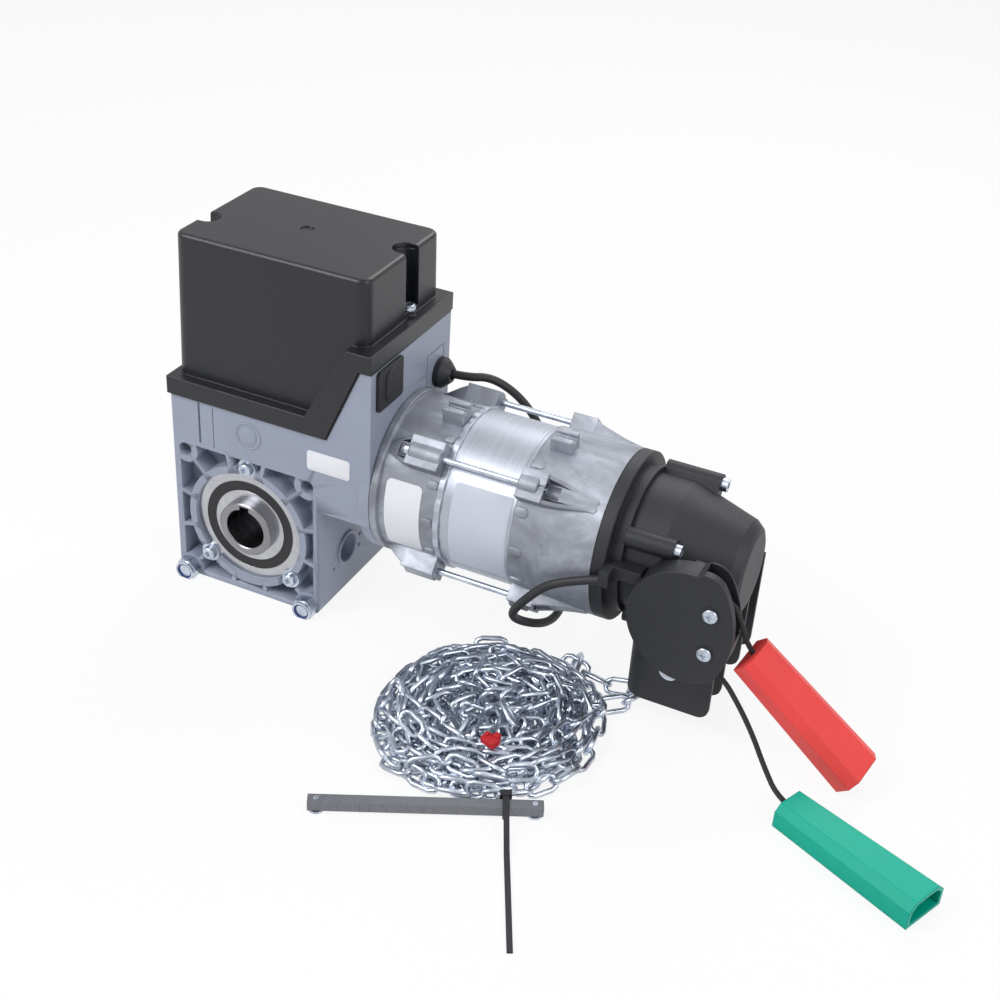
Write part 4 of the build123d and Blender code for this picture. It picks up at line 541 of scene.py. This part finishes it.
def linked(name, data):
    """Puts a new object into the scene, at the origin."""
    made = bpy.data.objects.new(name, data)
    bpy.context.scene.collection.objects.link(made)
    return made


def outward_mesh(name, points, faces):
    """A mesh of these points and faces, with every face turned outwards."""
    mesh = bpy.data.meshes.new(name)
    mesh.from_pydata(points.tolist(), [], faces)
    work = bmesh.new()
    work.from_mesh(mesh)
    bmesh.ops.recalc_face_normals(work, faces=work.faces)
    work.to_mesh(mesh)
    work.free()
    return mesh


def dressed(made, body, finish, replaces, sharp):
    """Shades an object, gives it its finish, and tells the frame its body and what it replaces."""
    made.data.shade_smooth()
    made.data.set_sharp_from_angle(angle=math.radians(sharp))
    made.data.materials.clear()
    made.data.materials.append(FINISHES[finish])
    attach(made, body)
    if replaces:
        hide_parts(*replaces)
    return made


def piece(name, solids, slot, finish=None, replaces=(), sharp=35.0, unit=MM):
    """Makes one object of these solids, in millimetres unless unit says otherwise, on the unmoving body."""
    points, faces = joined(solids)
    made = linked(name, outward_mesh(name, points * unit, faces))
    return dressed(made, "operator", finish or slot, replaces, sharp)


def outline(width, height, corner, steps=5):
    """A rounded rectangle about the origin: four quarter arcs of this radius, joined by straight sides."""
    corner = max(corner, 1e-4)
    quarters = []
    for k, (side, up) in enumerate(((1, 1), (-1, 1), (-1, -1), (1, -1))):
        turn = np.linspace(k, k + 1, steps) * math.pi / 2
        x = side * (width / 2 - corner) + corner * np.cos(turn)
        y = up * (height / 2 - corner) + corner * np.sin(turn)
        quarters.append(np.stack((x, y), -1))
    return np.concatenate(quarters)


def distances(line):
    """How far along its line each point lies."""
    return np.concatenate(([0], np.cumsum(np.linalg.norm(np.diff(line, axis=0), axis=1))))


def points_at(places, gone, line):
    """The points that lie this far along a line."""
    return np.stack([np.interp(places, gone, column) for column in line.T], -1)


def evenly(flat, count):
    """Points at even steps along a closed outline."""
    closed = np.vstack((flat, flat[:1]))
    gone = distances(closed)
    return points_at(np.arange(count) / count * gone[-1], gone, closed)


def even_turn(steps):
    """Angles at even steps round a full turn."""
    return np.arange(steps) / steps * FULL_TURN


def polar(reach, turn):
    """Flat points at these distances and angles about the origin."""
    return np.stack((reach * np.cos(turn), reach * np.sin(turn)), -1)


def circle(radius, steps):
    """Points round a circle about the origin."""
    return polar(radius, even_turn(steps))


def hexagon(across, steps=36):
    """A hexagon this wide across its flats: a point lies at half of it over the cosine of the angle to its flat."""
    turn = even_turn(steps)
    off = (turn + math.pi / 6) % (math.pi / 3) - math.pi / 6
    return polar(across / 2 / np.cos(off), turn)


def star(radius, steps=36):
    """Four blunt lobes: the radius swells where the cosine of twice the angle is large."""
    turn = even_turn(steps)
    return polar(radius * (0.34 + 0.66 * np.abs(np.cos(2 * turn)) ** 3), turn)


def axes(normal, hint=(0.0, 0.0, 1.0)):
    """Two directions across a normal, and the normal, as rows."""
    n = np.asarray(normal, float)
    n = n / np.linalg.norm(n)
    if abs(n @ np.asarray(hint)) > 0.95:
        hint = (0.0, 1.0, 0.0)
    side = np.cross(hint, n)
    side = side / np.linalg.norm(side)
    return np.stack((side, np.cross(n, side), n))


def raised(centre, rows, shapes):
    """A solid standing on a plane: each shape is a flat outline and its height along the normal."""
    side, up, normal = rows
    middle = np.asarray(centre)
    return solid([middle + flat[:, :1] * side + flat[:, 1:] * up + height * normal for flat, height in shapes])


def stub(centre, rows, steps, pairs):
    """A round solid standing on a plane, through pairs of a radius and a height."""
    return raised(centre, rows, [(circle(radius, steps), height) for radius, height in pairs])


def pan_head(centre, normal, radius, height, recess):
    """A screw's head: a round side, a domed shoulder, and a recess sunk to under half the height."""
    dome = ((1.0, 0.0), (1.0, 0.45), (0.93, 0.75), (0.78, 0.94), (0.62, 1.0))
    shapes = [(circle(radius * wide, 36), height * high) for wide, high in dome]
    shapes += [(recess * wide, height * high) for wide, high in ((1.0, 1.0), (0.9, 0.35), (0.3, 0.3))]
    return raised(centre, axes(normal), shapes)


def block(centre, rows, width, height, depth, corner=1.0, edge=0.5):
    """A block with rounded corners and softened top edges."""
    shapes = [
        (outline(width, height, corner), 0.0),
        (outline(width, height, corner), depth - edge),
        (outline(width - 0.6 * edge, height - 0.6 * edge, max(corner - 0.3 * edge, 0.1)), depth - 0.3 * edge),
        (outline(width - 2 * edge, height - 2 * edge, max(corner - edge, 0.1)), depth),
    ]
    return raised(centre, rows, shapes)


def on_motor(x, radius, angle, across=0.0):
    """Points at this distance from the motor's axis and at this angle, moved across it by a length."""
    a = np.radians(angle)
    y = AXIS_Y + radius * np.cos(a) - across * np.sin(a)
    z = AXIS_Z + radius * np.sin(a) + across * np.cos(a)
    return np.stack(np.broadcast_arrays(np.asarray(x, float), y, z), -1)


def outward(angle):
    """Directions on the motor at this angle: along it, round it and outwards, as rows."""
    middle = on_motor(0, 0, angle)
    return np.stack(((1.0, 0.0, 0.0), on_motor(0, 0, angle, 1.0) - middle, on_motor(0, 1.0, angle) - middle))


def wrapped_plate(x, angle, width, height, radius, thickness, corner=2.0):
    """A thin plate bent round the motor: a rounded rectangle whose height is laid along the circle."""
    flat = evenly(outline(width, height, corner, 8), 160)
    rings = []
    for share, lift in [(1.0, -0.1)] + [(share, thickness) for share in np.linspace(1.0, 0.02, 14)]:
        x_part = x + flat[:, 0] * share
        turn = np.radians(angle) + flat[:, 1] * share / radius
        reach = radius + lift
        rings.append(np.stack((x_part, AXIS_Y + reach * np.cos(turn), AXIS_Z + reach * np.sin(turn)), -1))
    return solid(rings)


def spun(profile, centre, normal, steps=96, wave=None):
    """A ring turned about an axis: the profile is a closed row of (distance from the axis, place along it)."""
    side, up, along = axes(normal)
    turn = even_turn(steps)
    profile = np.asarray(profile, float)
    reach = profile[None, :, 0] + (0 if wave is None else wave(turn)[:, None] * profile[None, :, 2])
    points = (
        np.asarray(centre)
        + reach[..., None] * (np.cos(turn)[:, None, None] * side + np.sin(turn)[:, None, None] * up)
        + profile[None, :, 1, None] * along
    )
    return solid(points, loop=True)


def fin(shape, side, thickness, angle):
    """A thin fin beside a lug: a chamfered section moved along x, with its crest and offset given at each place."""
    places, foot, crests, offsets = shape
    half, chamfer = thickness / 2, 0.4
    rings = []
    for x, crest, offset in zip(places, crests, offsets):
        section = (
            (foot, -half), (foot, half), (crest - chamfer, half),
            (crest, half * 0.5), (crest, -half * 0.5), (crest - chamfer, -half),
        )
        rings.append([on_motor(x, reach, angle, side * offset + shift) for reach, shift in section])
    return solid(rings)


def notches(turn):
    """Steps out and in 24 times round: how far the notched band's rim moves at each angle."""
    return 0.5 * (np.cos(turn * 24) > 0.2) - 0.1


def carved(node, cutters, name, slot):
    """A copy of a CAD node with these solids cut out of it, in place of the node."""
    source = frame["nodes"][node]
    copy = linked(name, source.data.copy())
    work = bmesh.new()
    work.from_mesh(copy.data)
    bmesh.ops.remove_doubles(work, verts=work.verts, dist=1e-6)
    work.to_mesh(copy.data)
    work.free()
    points, faces = joined(cutters)
    tool = linked(name + "_cutter", outward_mesh(name + "_cutter", points * MM, faces))
    cut = copy.modifiers.new("cut", "BOOLEAN")
    cut.operation = "DIFFERENCE"
    cut.solver = "EXACT"
    cut.use_self = True
    cut.object = tool
    graph = bpy.context.evaluated_depsgraph_get()
    result = bpy.data.meshes.new_from_object(copy.evaluated_get(graph))
    bpy.data.objects.remove(tool)
    copy.modifiers.clear()
    if len(result.vertices) < 0.5 * len(copy.data.vertices):
        raise RuntimeError(f"cutting {node} lost its shape")
    copy.data = result
    even = copy.modifiers.new("even_shade", "WEIGHTED_NORMAL")
    even.keep_sharp = True
    even.weight = 100
    dressed(copy, source["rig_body"], slot, (node,), 24.0)


# Cords


def cord_curve(name, route, bevel=0.0):
    """A NURBS curve with the route's points as its control points."""
    curve = bpy.data.curves.new(name, "CURVE")
    curve.dimensions = "3D"
    curve.resolution_u = 24
    spline = curve.splines.new("NURBS")
    spline.points.add(len(route) - 1)
    spline.points.foreach_set("co", np.hstack((route, np.ones((len(route), 1)))).ravel())
    spline.order_u = 3
    spline.use_endpoint_u = True
    curve.bevel_depth = bevel
    curve.bevel_resolution = 6
    curve.use_fill_caps = True
    return linked(name, curve)


def spline_points(route, spacing):
    """Points read from the route's own spline, evenly spaced, and the line's length."""
    guide = cord_curve("guide", route)
    graph = bpy.context.evaluated_depsgraph_get()
    mesh = bpy.data.meshes.new_from_object(guide.evaluated_get(graph))
    line = np.empty(len(mesh.vertices) * 3)
    mesh.vertices.foreach_get("co", line)
    line = line.reshape(-1, 3)
    bpy.data.objects.remove(guide)
    bpy.data.meshes.remove(mesh)
    gone = distances(line)
    places = np.linspace(0, gone[-1], max(int(gone[-1] / spacing), 4))
    return points_at(places, gone, line), float(gone[-1])


def frames_along(line):
    """A frame at each point, turned as little as possible from the one before: rows are side, up and forward."""
    forward = np.gradient(line, axis=0)
    forward /= np.linalg.norm(forward, axis=1)[:, None]
    side = np.cross(forward[0], (0.13, 0.71, 0.69))
    frames = []
    for ahead in forward:
        side = side - ahead * (side @ ahead)
        side = side / np.linalg.norm(side)
        frames.append(np.stack((side, np.cross(ahead, side), ahead)))
    return np.stack(frames)


def braided_cord(node, route, diameter, knot_radius):
    """A braided cord: the radius rises and falls where its strands cross, as the product of two sines."""
    spacing, crossing, steps = 0.0005, 0.0011, 16
    line, run = spline_points(np.array(route), spacing)
    frames = frames_along(line)
    turn = even_turn(steps)
    along = np.arange(len(line)) * spacing / (2 * crossing) * math.pi
    ripple = np.sin(4 * turn[None, :] + along[:, None]) * np.sin(4 * turn[None, :] - along[:, None])
    radius = diameter / 2 * (0.955 + 0.045 * ripple)
    rings = (
        line[:, None]
        + (radius * np.cos(turn))[..., None] * frames[:, None, 0]
        + (radius * np.sin(turn))[..., None] * frames[:, None, 1]
    )
    name = node.replace("_cord", "_pull_cord")
    made = piece(name, [solid(rings)], "cord_black", replaces=(node,), unit=1.0, sharp=80.0)
    layer = made.data.uv_layers.new(name="Weave")
    corner = np.empty(len(made.data.loops), int)
    made.data.loops.foreach_get("vertex_index", corner)
    row, column = np.divmod(corner, steps)
    chart = np.stack((column * 8 / steps, row * spacing / crossing), -1)
    chart[corner >= len(line) * steps] = 0.0
    layer.data.foreach_set("uv", chart.ravel())
    section = (circle(knot_radius * 0.42, 10) + (knot_radius * 0.62, 0.0)) / MM
    tilts = [np.array([math.sin(tilt) * 0.8, math.cos(tilt) * 0.8, 0.6]) for tilt in (0.0, 1.1, 2.2)]
    loops = [spun(section, line[-1] / MM, frames[-1].T @ tilt, 20) for tilt in tilts]
    knot = piece(name + "_knot", loops, "cord_black", "cable_black")


# Hand chain


def link_shape(sizes):
    """One link about the origin along x: a round wire on a closed line of two straights and two half circles."""
    wire = sizes.wire / 2
    bend = sizes.link_width / 2 - wire
    straight = sizes.link_length / 2 - wire - bend
    turn = np.linspace(-math.pi / 2, math.pi / 2, 5)
    right = np.stack((straight + bend * np.cos(turn), bend * np.sin(turn)), -1)
    line = np.concatenate((right, -right))
    middle = np.sign(line[:, :1]) * np.array([[straight, 0.0]])
    out = (line - middle) / bend
    around = even_turn(6)
    rings = np.zeros((len(line), 6, 3))
    rings[..., :2] = line[:, None] + out[:, None] * (wire * np.cos(around))[None, :, None]
    rings[..., 2] = wire * np.sin(around)
    return solid(rings, loop=True)


def links_along(line, sizes, rng, jitter):
    """Links at the points of a line: each is turned a quarter from its neighbour, about the line's direction, with
    a little chance in it, and lifted by as much as it would reach below the floor."""
    forward = np.gradient(line, axis=0)
    forward /= np.linalg.norm(forward, axis=1)[:, None]
    upward = np.array([0.0, 0.0, 1.0]) + forward * 0
    steep = np.abs(forward[:, 2]) > 0.92
    upward[steep] = (0.0, 1.0, 0.0)
    side = np.cross(upward, forward)
    side /= np.linalg.norm(side, axis=1)[:, None]
    upward = np.cross(forward, side)
    quarters = 45.0 + 90.0 * (np.arange(len(line)) % 2)
    roll = np.radians(quarters + rng.normal(0, jitter, len(line)))[:, None]
    turned_side = side * np.cos(roll) + upward * np.sin(roll)
    turned_up = -side * np.sin(roll) + upward * np.cos(roll)
    points, faces = link_shape(sizes)
    frames = np.stack((forward, turned_side, turned_up), 1)
    placed = line[:, None] + np.einsum("pk,nkd->npd", points, frames)
    below = FLOOR_Z * MM + 0.0001 - placed[..., 2].min(1)
    placed[..., 2] += np.maximum(below, 0.0)[:, None]
    numbered = np.array(faces)[None] + (np.arange(len(line)) * len(points))[:, None, None]
    return placed.reshape(-1, 3), numbered.reshape(-1, 4).tolist()


def even_points(corners, spacing):
    """Evenly spaced points on a line through corners, softened by a moving mean."""
    gone = distances(corners)
    line = points_at(np.linspace(0, gone[-1], int(gone[-1] / (spacing / 6))), gone, corners)
    for _ in range(14):
        line[1:-1] = (line[:-2] + line[1:-1] + line[2:]) / 3
    gone = distances(line)
    return points_at(np.arange(0, gone[-1], spacing), gone, line)


def settled_heap(sizes, start, end, rng):
    """A chain poured into a heap: points in a row keep the links' pitch, others keep apart, and all sink to the
    floor inside the heap's outline, under a top that comes down as they settle."""
    rounds, slow_rounds, sink, slow_sink = 260, 150, 0.00035, 0.0004
    lowest, top, rim_margin, tiny = 0.0050, 0.0215, 0.0035, 1e-9
    count, apart = sizes.heap_links, sizes.spacing
    pitch = sizes.link_length - 2 * sizes.wire
    centre = np.array(HEAP_CENTRE) * MM
    rim = np.array(HEAP_OUTLINE) * MM - centre
    rim_angle = np.arctan2(rim[:, 1], rim[:, 0])
    order = np.argsort(rim_angle)
    rim_angle, rim_reach = rim_angle[order], np.linalg.norm(rim, axis=1)[order]
    step = np.arange(count)
    bend = np.cumsum(rng.normal(0, 0.32, count))
    share = 0.16 + 0.82 * np.abs(np.sin(step * 0.083 + np.sin(step * 0.029) * 2.0))
    angle = step * 0.31 + bend * 0.5
    reach = share * np.interp(angle, rim_angle, rim_reach, period=FULL_TURN)
    points = np.stack((reach * np.cos(angle), reach * np.sin(angle), 0.004 + step / count * 0.05), -1)
    points[:, :2] += centre
    points[:, 2] += FLOOR_Z * MM
    for turn in range(rounds):
        points[:, 2] -= sink
        gap = points[:, None] - points[None]
        far = np.linalg.norm(gap, axis=2) + tiny
        near = (far < apart) & (np.abs(step[:, None] - step[None]) > 1)
        push = np.where(near, (apart - far) / far * 0.25, 0.0)[..., None] * gap
        points += push.sum(1)
        for _ in range(3):
            run = points[1:] - points[:-1]
            size = np.linalg.norm(run, axis=1)[:, None] + tiny
            fix = run * (size - pitch) / size * 0.5
            points[:-1] += fix * 0.9
            points[1:] -= fix * 0.9
        points[0], points[-1] = start, end
        flat = points[:, :2] - centre
        limit = np.interp(np.arctan2(flat[:, 1], flat[:, 0]), rim_angle, rim_reach, period=FULL_TURN) - rim_margin
        inside = np.minimum(1.0, limit / (np.linalg.norm(flat, axis=1) + tiny))
        inside[[0, -1]] = 1.0
        points[:, :2] = centre + flat * inside[:, None]
        ceiling = FLOOR_Z * MM + top + max(0, slow_rounds - turn) * slow_sink
        points[:, 2] = np.clip(points[:, 2], FLOOR_Z * MM + lowest, ceiling)
    return points


# Operators


class OBJECT_OT_operator_camera(bpy.types.Operator):
    """Place the camera where the photograph was taken from"""

    bl_idname = "operator_model.camera"
    bl_label = "Camera"

    def execute(self, context):
        back = np.array(CAMERA_BACK)
        back = back / np.linalg.norm(back)
        up = np.cross(back, CAMERA_RIGHT)
        up = up / np.linalg.norm(up)
        right = np.cross(up, back)
        data = bpy.data.cameras.new("photo_camera")
        data.lens = context.scene.operator_stage.lens
        data.sensor_width = 36.0
        data.clip_start = 0.05
        data.clip_end = 20.0
        camera = linked("photo_camera", data)
        placed = np.eye(4)
        placed[:3] = np.stack((right, up, back, CAMERA_PLACE), -1)
        camera.matrix_world = Matrix(placed.tolist())
        context.scene.camera = camera
        return {"FINISHED"}


class OBJECT_OT_operator_cords(bpy.types.Operator):
    """Make the two braided pull cords and the black switch cable"""

    bl_idname = "operator_model.cords"
    bl_label = "Cords and cable"

    def execute(self, context):
        sizes = context.scene.operator_cords
        braided_cord("red_cord", RED_ROUTE, sizes.pull_cord, sizes.knot)
        braided_cord("green_cord", GREEN_ROUTE, sizes.pull_cord, sizes.knot)
        run = spline_points(np.array(CABLE_ROUTE), 0.002)[1]
        cable = cord_curve("black_switch_cable", np.array(CABLE_ROUTE), sizes.cable / 2)
        cable.data.materials.append(FINISHES["cable_black"])
        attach(cable, "operator")
        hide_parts("switch_cable")
        return {"FINISHED"}


class OBJECT_OT_operator_finishes(bpy.types.Operator):
    """Give every carried-over CAD node the finish of its record slot"""

    bl_idname = "operator_model.finishes"
    bl_label = "Finishes of the frame"

    def execute(self, context):
        for row in frame["record"]["subparts"]:
            node = frame["nodes"][row["node"]]
            node.data.materials.clear()
            node.data.materials.append(FINISHES[row["material_slot"]])
        return {"FINISHED"}


class OBJECT_OT_operator_case(bpy.types.Operator):
    """Cut the gearcase's grooves and holes, and add its bare plate and ring"""

    bl_idname = "operator_model.case"
    bl_label = "Gearcase details"

    def execute(self, context):
        groove = context.scene.operator_castings.groove_width / MM
        front, right = axes((0, -1, 0)), axes((1, 0, 0))
        cutters = [
            block((-30.5, 1.2, 62.6), front, groove, 26.8, 4.0, 0.2, 0.1),
            block((-21.0, 0.5, 62.0), front, 0.6, 27.0, 2.0, 0.1, 0.05),
        ]
        cutters += [stub((46.6, *hole), right, 16, ((1.3, 0.0), (1.3, 6.0))) for hole in CASE_HOLES]
        cutters.append(stub((43.0, *CASE_PORT), right, 48, ((8.8, 0.0), (8.8, 12.0))))
        cutters += [block((81.7, y, z), right, wide, tall, 4.0, 0.1, 0.05) for y, z, wide, tall in GLAND_GROOVES]
        carved("gear_housing", cutters, "gearcase", "case_grey")
        plate = block((55.7, 0.05, 60.6), front, 27.6, 12.6, 0.35, 1.9, 0.1)
        piece("case_plate", [plate], "case_grey", "plate")
        x, z = ROUND_BOSS
        ring = spun(BOSS_RING, (x, 0.0, z), (0, -1, 0))
        boss = stub((x, 0.1, z), front, 40, ((5.6, 0.0), (5.6, 0.35), (5.2, 0.6), (2.0, 0.6)))
        piece("case_round_boss", [ring, boss], "case_grey")
        port = spun(PORT_RIM, (49.3, *CASE_PORT), (1, 0, 0))
        piece("case_port_rim", [port], "case_grey")
        return {"FINISHED"}


class OBJECT_OT_operator_castings(bpy.types.Operator):
    """Add fins, tubes, blocks, tabs and bare plates to the motor, and the bands of its shell"""

    bl_idname = "operator_model.castings"
    bl_label = "Motor casting details"

    def execute(self, context):
        sizes = context.scene.operator_castings
        thick = sizes.fin_thickness / MM
        along = (1, 0, 0)
        front, rear = [], []
        for angle in CORNERS:
            for side in (-1, 1):
                front.append(fin(FRONT_FIN, side, thick, angle))
                rear.append(fin(REAR_FIN, side, thick, angle))
            for group, (x, pairs) in ((front, FRONT_TUBE), (rear, REAR_TUBE)):
                group.append(stub(on_motor(x, ROD_REACH, angle), axes(along), 28, pairs))
        angle, radial = SLOTTED_BLOCK_ANGLE, outward(SLOTTED_BLOCK_ANGLE)
        for group, x, low in ((front, 115.5, 45.4), (rear, 181.0, 46.6)):
            group.append(block(on_motor(x, low, angle), radial, 13.0, 11.0, 7.6, 1.0, 0.6))
            for side in (-1, 1):
                group.append(block(on_motor(x, low + 7.0, angle, side * 3.9), radial, 13.0, 3.2, 3.4, 0.8, 0.5))
        for angle in TAB_ANGLES:
            radial = outward(angle)
            rear.append(block(on_motor(172.6, 47.2, angle), radial, 8.5, 6.0, 1.6, 2.4, 0.6))
            front.append(block(on_motor(118.6, 46.2, angle), radial, 7.0, 5.0, 1.3, 2.0, 0.5))
        front.append(spun(FRONT_RIM, MOTOR, along, 128))
        piece("front_fins", front, "cast_aluminium")
        piece("rear_fins", rear, "cast_aluminium")
        bands = [spun(NOTCHED_BAND, MOTOR, along, 240, notches), spun(REAR_BAND, MOTOR, along, 160)]
        piece("shell_bands", bands, "shell_aluminium")
        thin = sizes.plate_thickness / MM
        silver = wrapped_plate(150.0, 178.0, 36.0, 54.0, 46.8, thin)
        white = wrapped_plate(102.5, 184.0, 22.0, 46.0, 46.6, thin, 3.0)
        piece("shell_plate", [silver], "shell_aluminium", "foil")
        piece("casting_plate", [white], "cast_aluminium", "plate")
        return {"FINISHED"}


class OBJECT_OT_operator_fasteners(bpy.types.Operator):
    """Put recessed heads on the screws that show"""

    bl_idname = "operator_model.fasteners"
    bl_label = "Screw heads"

    def execute(self, context):
        front, up = (0, -1, 0), (0, 0, 1)
        heads = []
        for angle in BEARING_SCREW_ANGLES:
            x, z = polar(BEARING_SCREW_CIRCLE, math.radians(angle))
            heads.append(pan_head((x, 1.4, z), front, 4.2, 3.2, hexagon(3.6)))
        lid_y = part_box("release_screws")[0].y / MM + 1.0
        heads += [pan_head((x, lid_y, z), front, 4.2, 1.6, star(2.5)) for x, z in LID_SCREWS]
        heads += [pan_head(place, up, 4.4, 2.7, star(2.6)) for place in HOOD_SCREWS]
        piece("screw_heads", heads, "zinc_steel")
        return {"FINISHED"}


class OBJECT_OT_operator_chain(bpy.types.Operator):
    """Make the hand chain: over its wheel, down its guide, along the floor and in a loose heap"""

    bl_idname = "operator_model.chain"
    bl_label = "Hand chain"

    def execute(self, context):
        sizes = context.scene.operator_chain
        rng = np.random.default_rng(11)
        low, near, far = FLOOR_Z + 4.6, 19.5, 74.3
        turns = np.radians(np.linspace(180, 0, 13))
        corners = [(205, 26, low), (222, 21, low), (236, 18, low), (247, 18.8, low)]
        corners += [(WHEEL_X, near, low + 8), (WHEEL_X, near, AXIS_Z)]
        corners += [(WHEEL_X, AXIS_Y + WHEEL_REACH * math.cos(t), AXIS_Z + WHEEL_REACH * math.sin(t)) for t in turns]
        corners += [(WHEEL_X, far, AXIS_Z), (WHEEL_X, far, low + 8), (249, 71, low), (251, 50, low), (250, 26, low)]
        corners += [(241, 6, low), (231, 0, low), (210, -7, low)]
        line = even_points(np.array(corners) * MM, sizes.link_length - 2 * sizes.wire)
        run = links_along(line, sizes, rng, 6.0)
        piece("hand_chain_links", [run], "zinc_steel", replaces=("hand_chain",), unit=1.0, sharp=70.0)
        heap = settled_heap(sizes, line[0], line[-1], rng)
        pile = links_along(heap, sizes, rng, 24.0)
        piece("chain_heap", [pile], "zinc_steel", replaces=("chain_pile",), unit=1.0, sharp=70.0)
        corner, opposite = (np.array(c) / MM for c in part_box("chain_clip"))
        x, y, z = (corner[0] + opposite[0]) / 2, (corner[1] + opposite[1]) / 2, corner[2] - 1.0
        up = axes((0, 0, 1), (0.35, 0.94, 0.0))
        clip = [
            block((x, y, z), up, 9.0, 6.4, 3.6, 0.8),
            block((x + 2.6, y + 2.4, z + 1.0), up, 3.4, 3.4, 4.4, 0.6),
            block((x - 2.8, y + 1.6, z + 1.0), up, 2.4, 2.6, 3.8, 0.5),
        ]
        piece("red_chain_clip", clip, "clip_red", replaces=("chain_clip",))
        return {"FINISHED"}


class OBJECT_OT_operator_stage(bpy.types.Operator):
    """Lay the pale floor and set the soft lamps"""

    bl_idname = "operator_model.stage"
    bl_label = "Floor and light"

    def execute(self, context):
        settings = context.scene.operator_stage
        half, z = settings.floor_half, FLOOR_Z * MM - 0.0001
        mesh = bpy.data.meshes.new("floor")
        mesh.from_pydata([(-half, -half, z), (half, -half, z), (half, half, z), (-half, half, z)], [], [(0, 1, 2, 3)])
        linked("floor", mesh)
        f = Finish("floor", context.scene.operator_colours.floor)
        mesh.materials.append(f.made(f.shade(1.0), 0.9))
        f.feed(f.output.inputs[0], f.seen_as(f.plain, f.node("ShaderNodeEmission", {}), 0.88))
        world = bpy.data.worlds.new("even_sky")
        context.scene.world = world
        sky = Nodes(world)
        even = sky.node("ShaderNodeBackground", {"Color": (0.93, 0.95, 1.0, 1.0), "Strength": settings.sky})
        pale = sky.node("ShaderNodeBackground", {"Strength": 0.95})
        sky.node("ShaderNodeOutputWorld", {0: sky.seen_as(even, pale)})
        lamps = (
            ("key_lamp", (-0.55, -0.75, 1.05), settings.key_power, 0.9),
            ("fill_lamp", (1.15, -0.25, 0.75), settings.fill_power, 0.7),
            ("back_lamp", (0.15, 0.95, 0.95), settings.rim_power, 0.8),
        )
        aim = Vector((0.15, 0.02, 0.03))
        for name, place, power, size in lamps:
            data = bpy.data.lights.new(name, "AREA")
            data.energy = power
            data.shape = "DISK"
            data.size = size
            lamp = linked(name, data)
            lamp.location = place
            lamp.rotation_euler = (aim - lamp.location).to_track_quat("-Z", "Y").to_euler()
        context.scene.view_settings.view_transform = "Standard"
        return {"FINISHED"}


STEPS = (
    OBJECT_OT_operator_camera,
    OBJECT_OT_operator_cords,
    OBJECT_OT_operator_finishes,
    OBJECT_OT_operator_case,
    OBJECT_OT_operator_castings,
    OBJECT_OT_operator_fasteners,
    OBJECT_OT_operator_chain,
    OBJECT_OT_operator_stage,
)
GROUPS = (
    ("operator_colours", OperatorColours),
    ("operator_chain", ChainSizes),
    ("operator_cords", CordSizes),
    ("operator_castings", CastingSizes),
    ("operator_stage", StageSettings),
)


class VIEW3D_PT_operator(bpy.types.Panel):
    """Lists the steps that make the door operator"""

    bl_idname = "VIEW3D_PT_operator_model"
    bl_label = "Door operator"
    bl_space_type = "VIEW_3D"
    bl_region_type = "UI"
    bl_category = "Door operator"

    def draw(self, context):
        for step in STEPS:
            self.layout.operator(step.bl_idname)


def register():
    for name, group in GROUPS:
        bpy.utils.register_class(group)
        setattr(bpy.types.Scene, name, PointerProperty(type=group))
    for step in (*STEPS, VIEW3D_PT_operator):
        bpy.utils.register_class(step)


def unregister():
    for step in (*STEPS, VIEW3D_PT_operator):
        bpy.utils.unregister_class(step)
    for name, group in GROUPS:
        delattr(bpy.types.Scene, name)
        bpy.utils.unregister_class(group)


def main():
    register()
    make_finishes(bpy.context.scene.operator_colours)
    for step in STEPS:
        category, name = step.bl_idname.split(".")
        getattr(getattr(bpy.ops, category), name)()


if __name__ == "__main__":
    main()
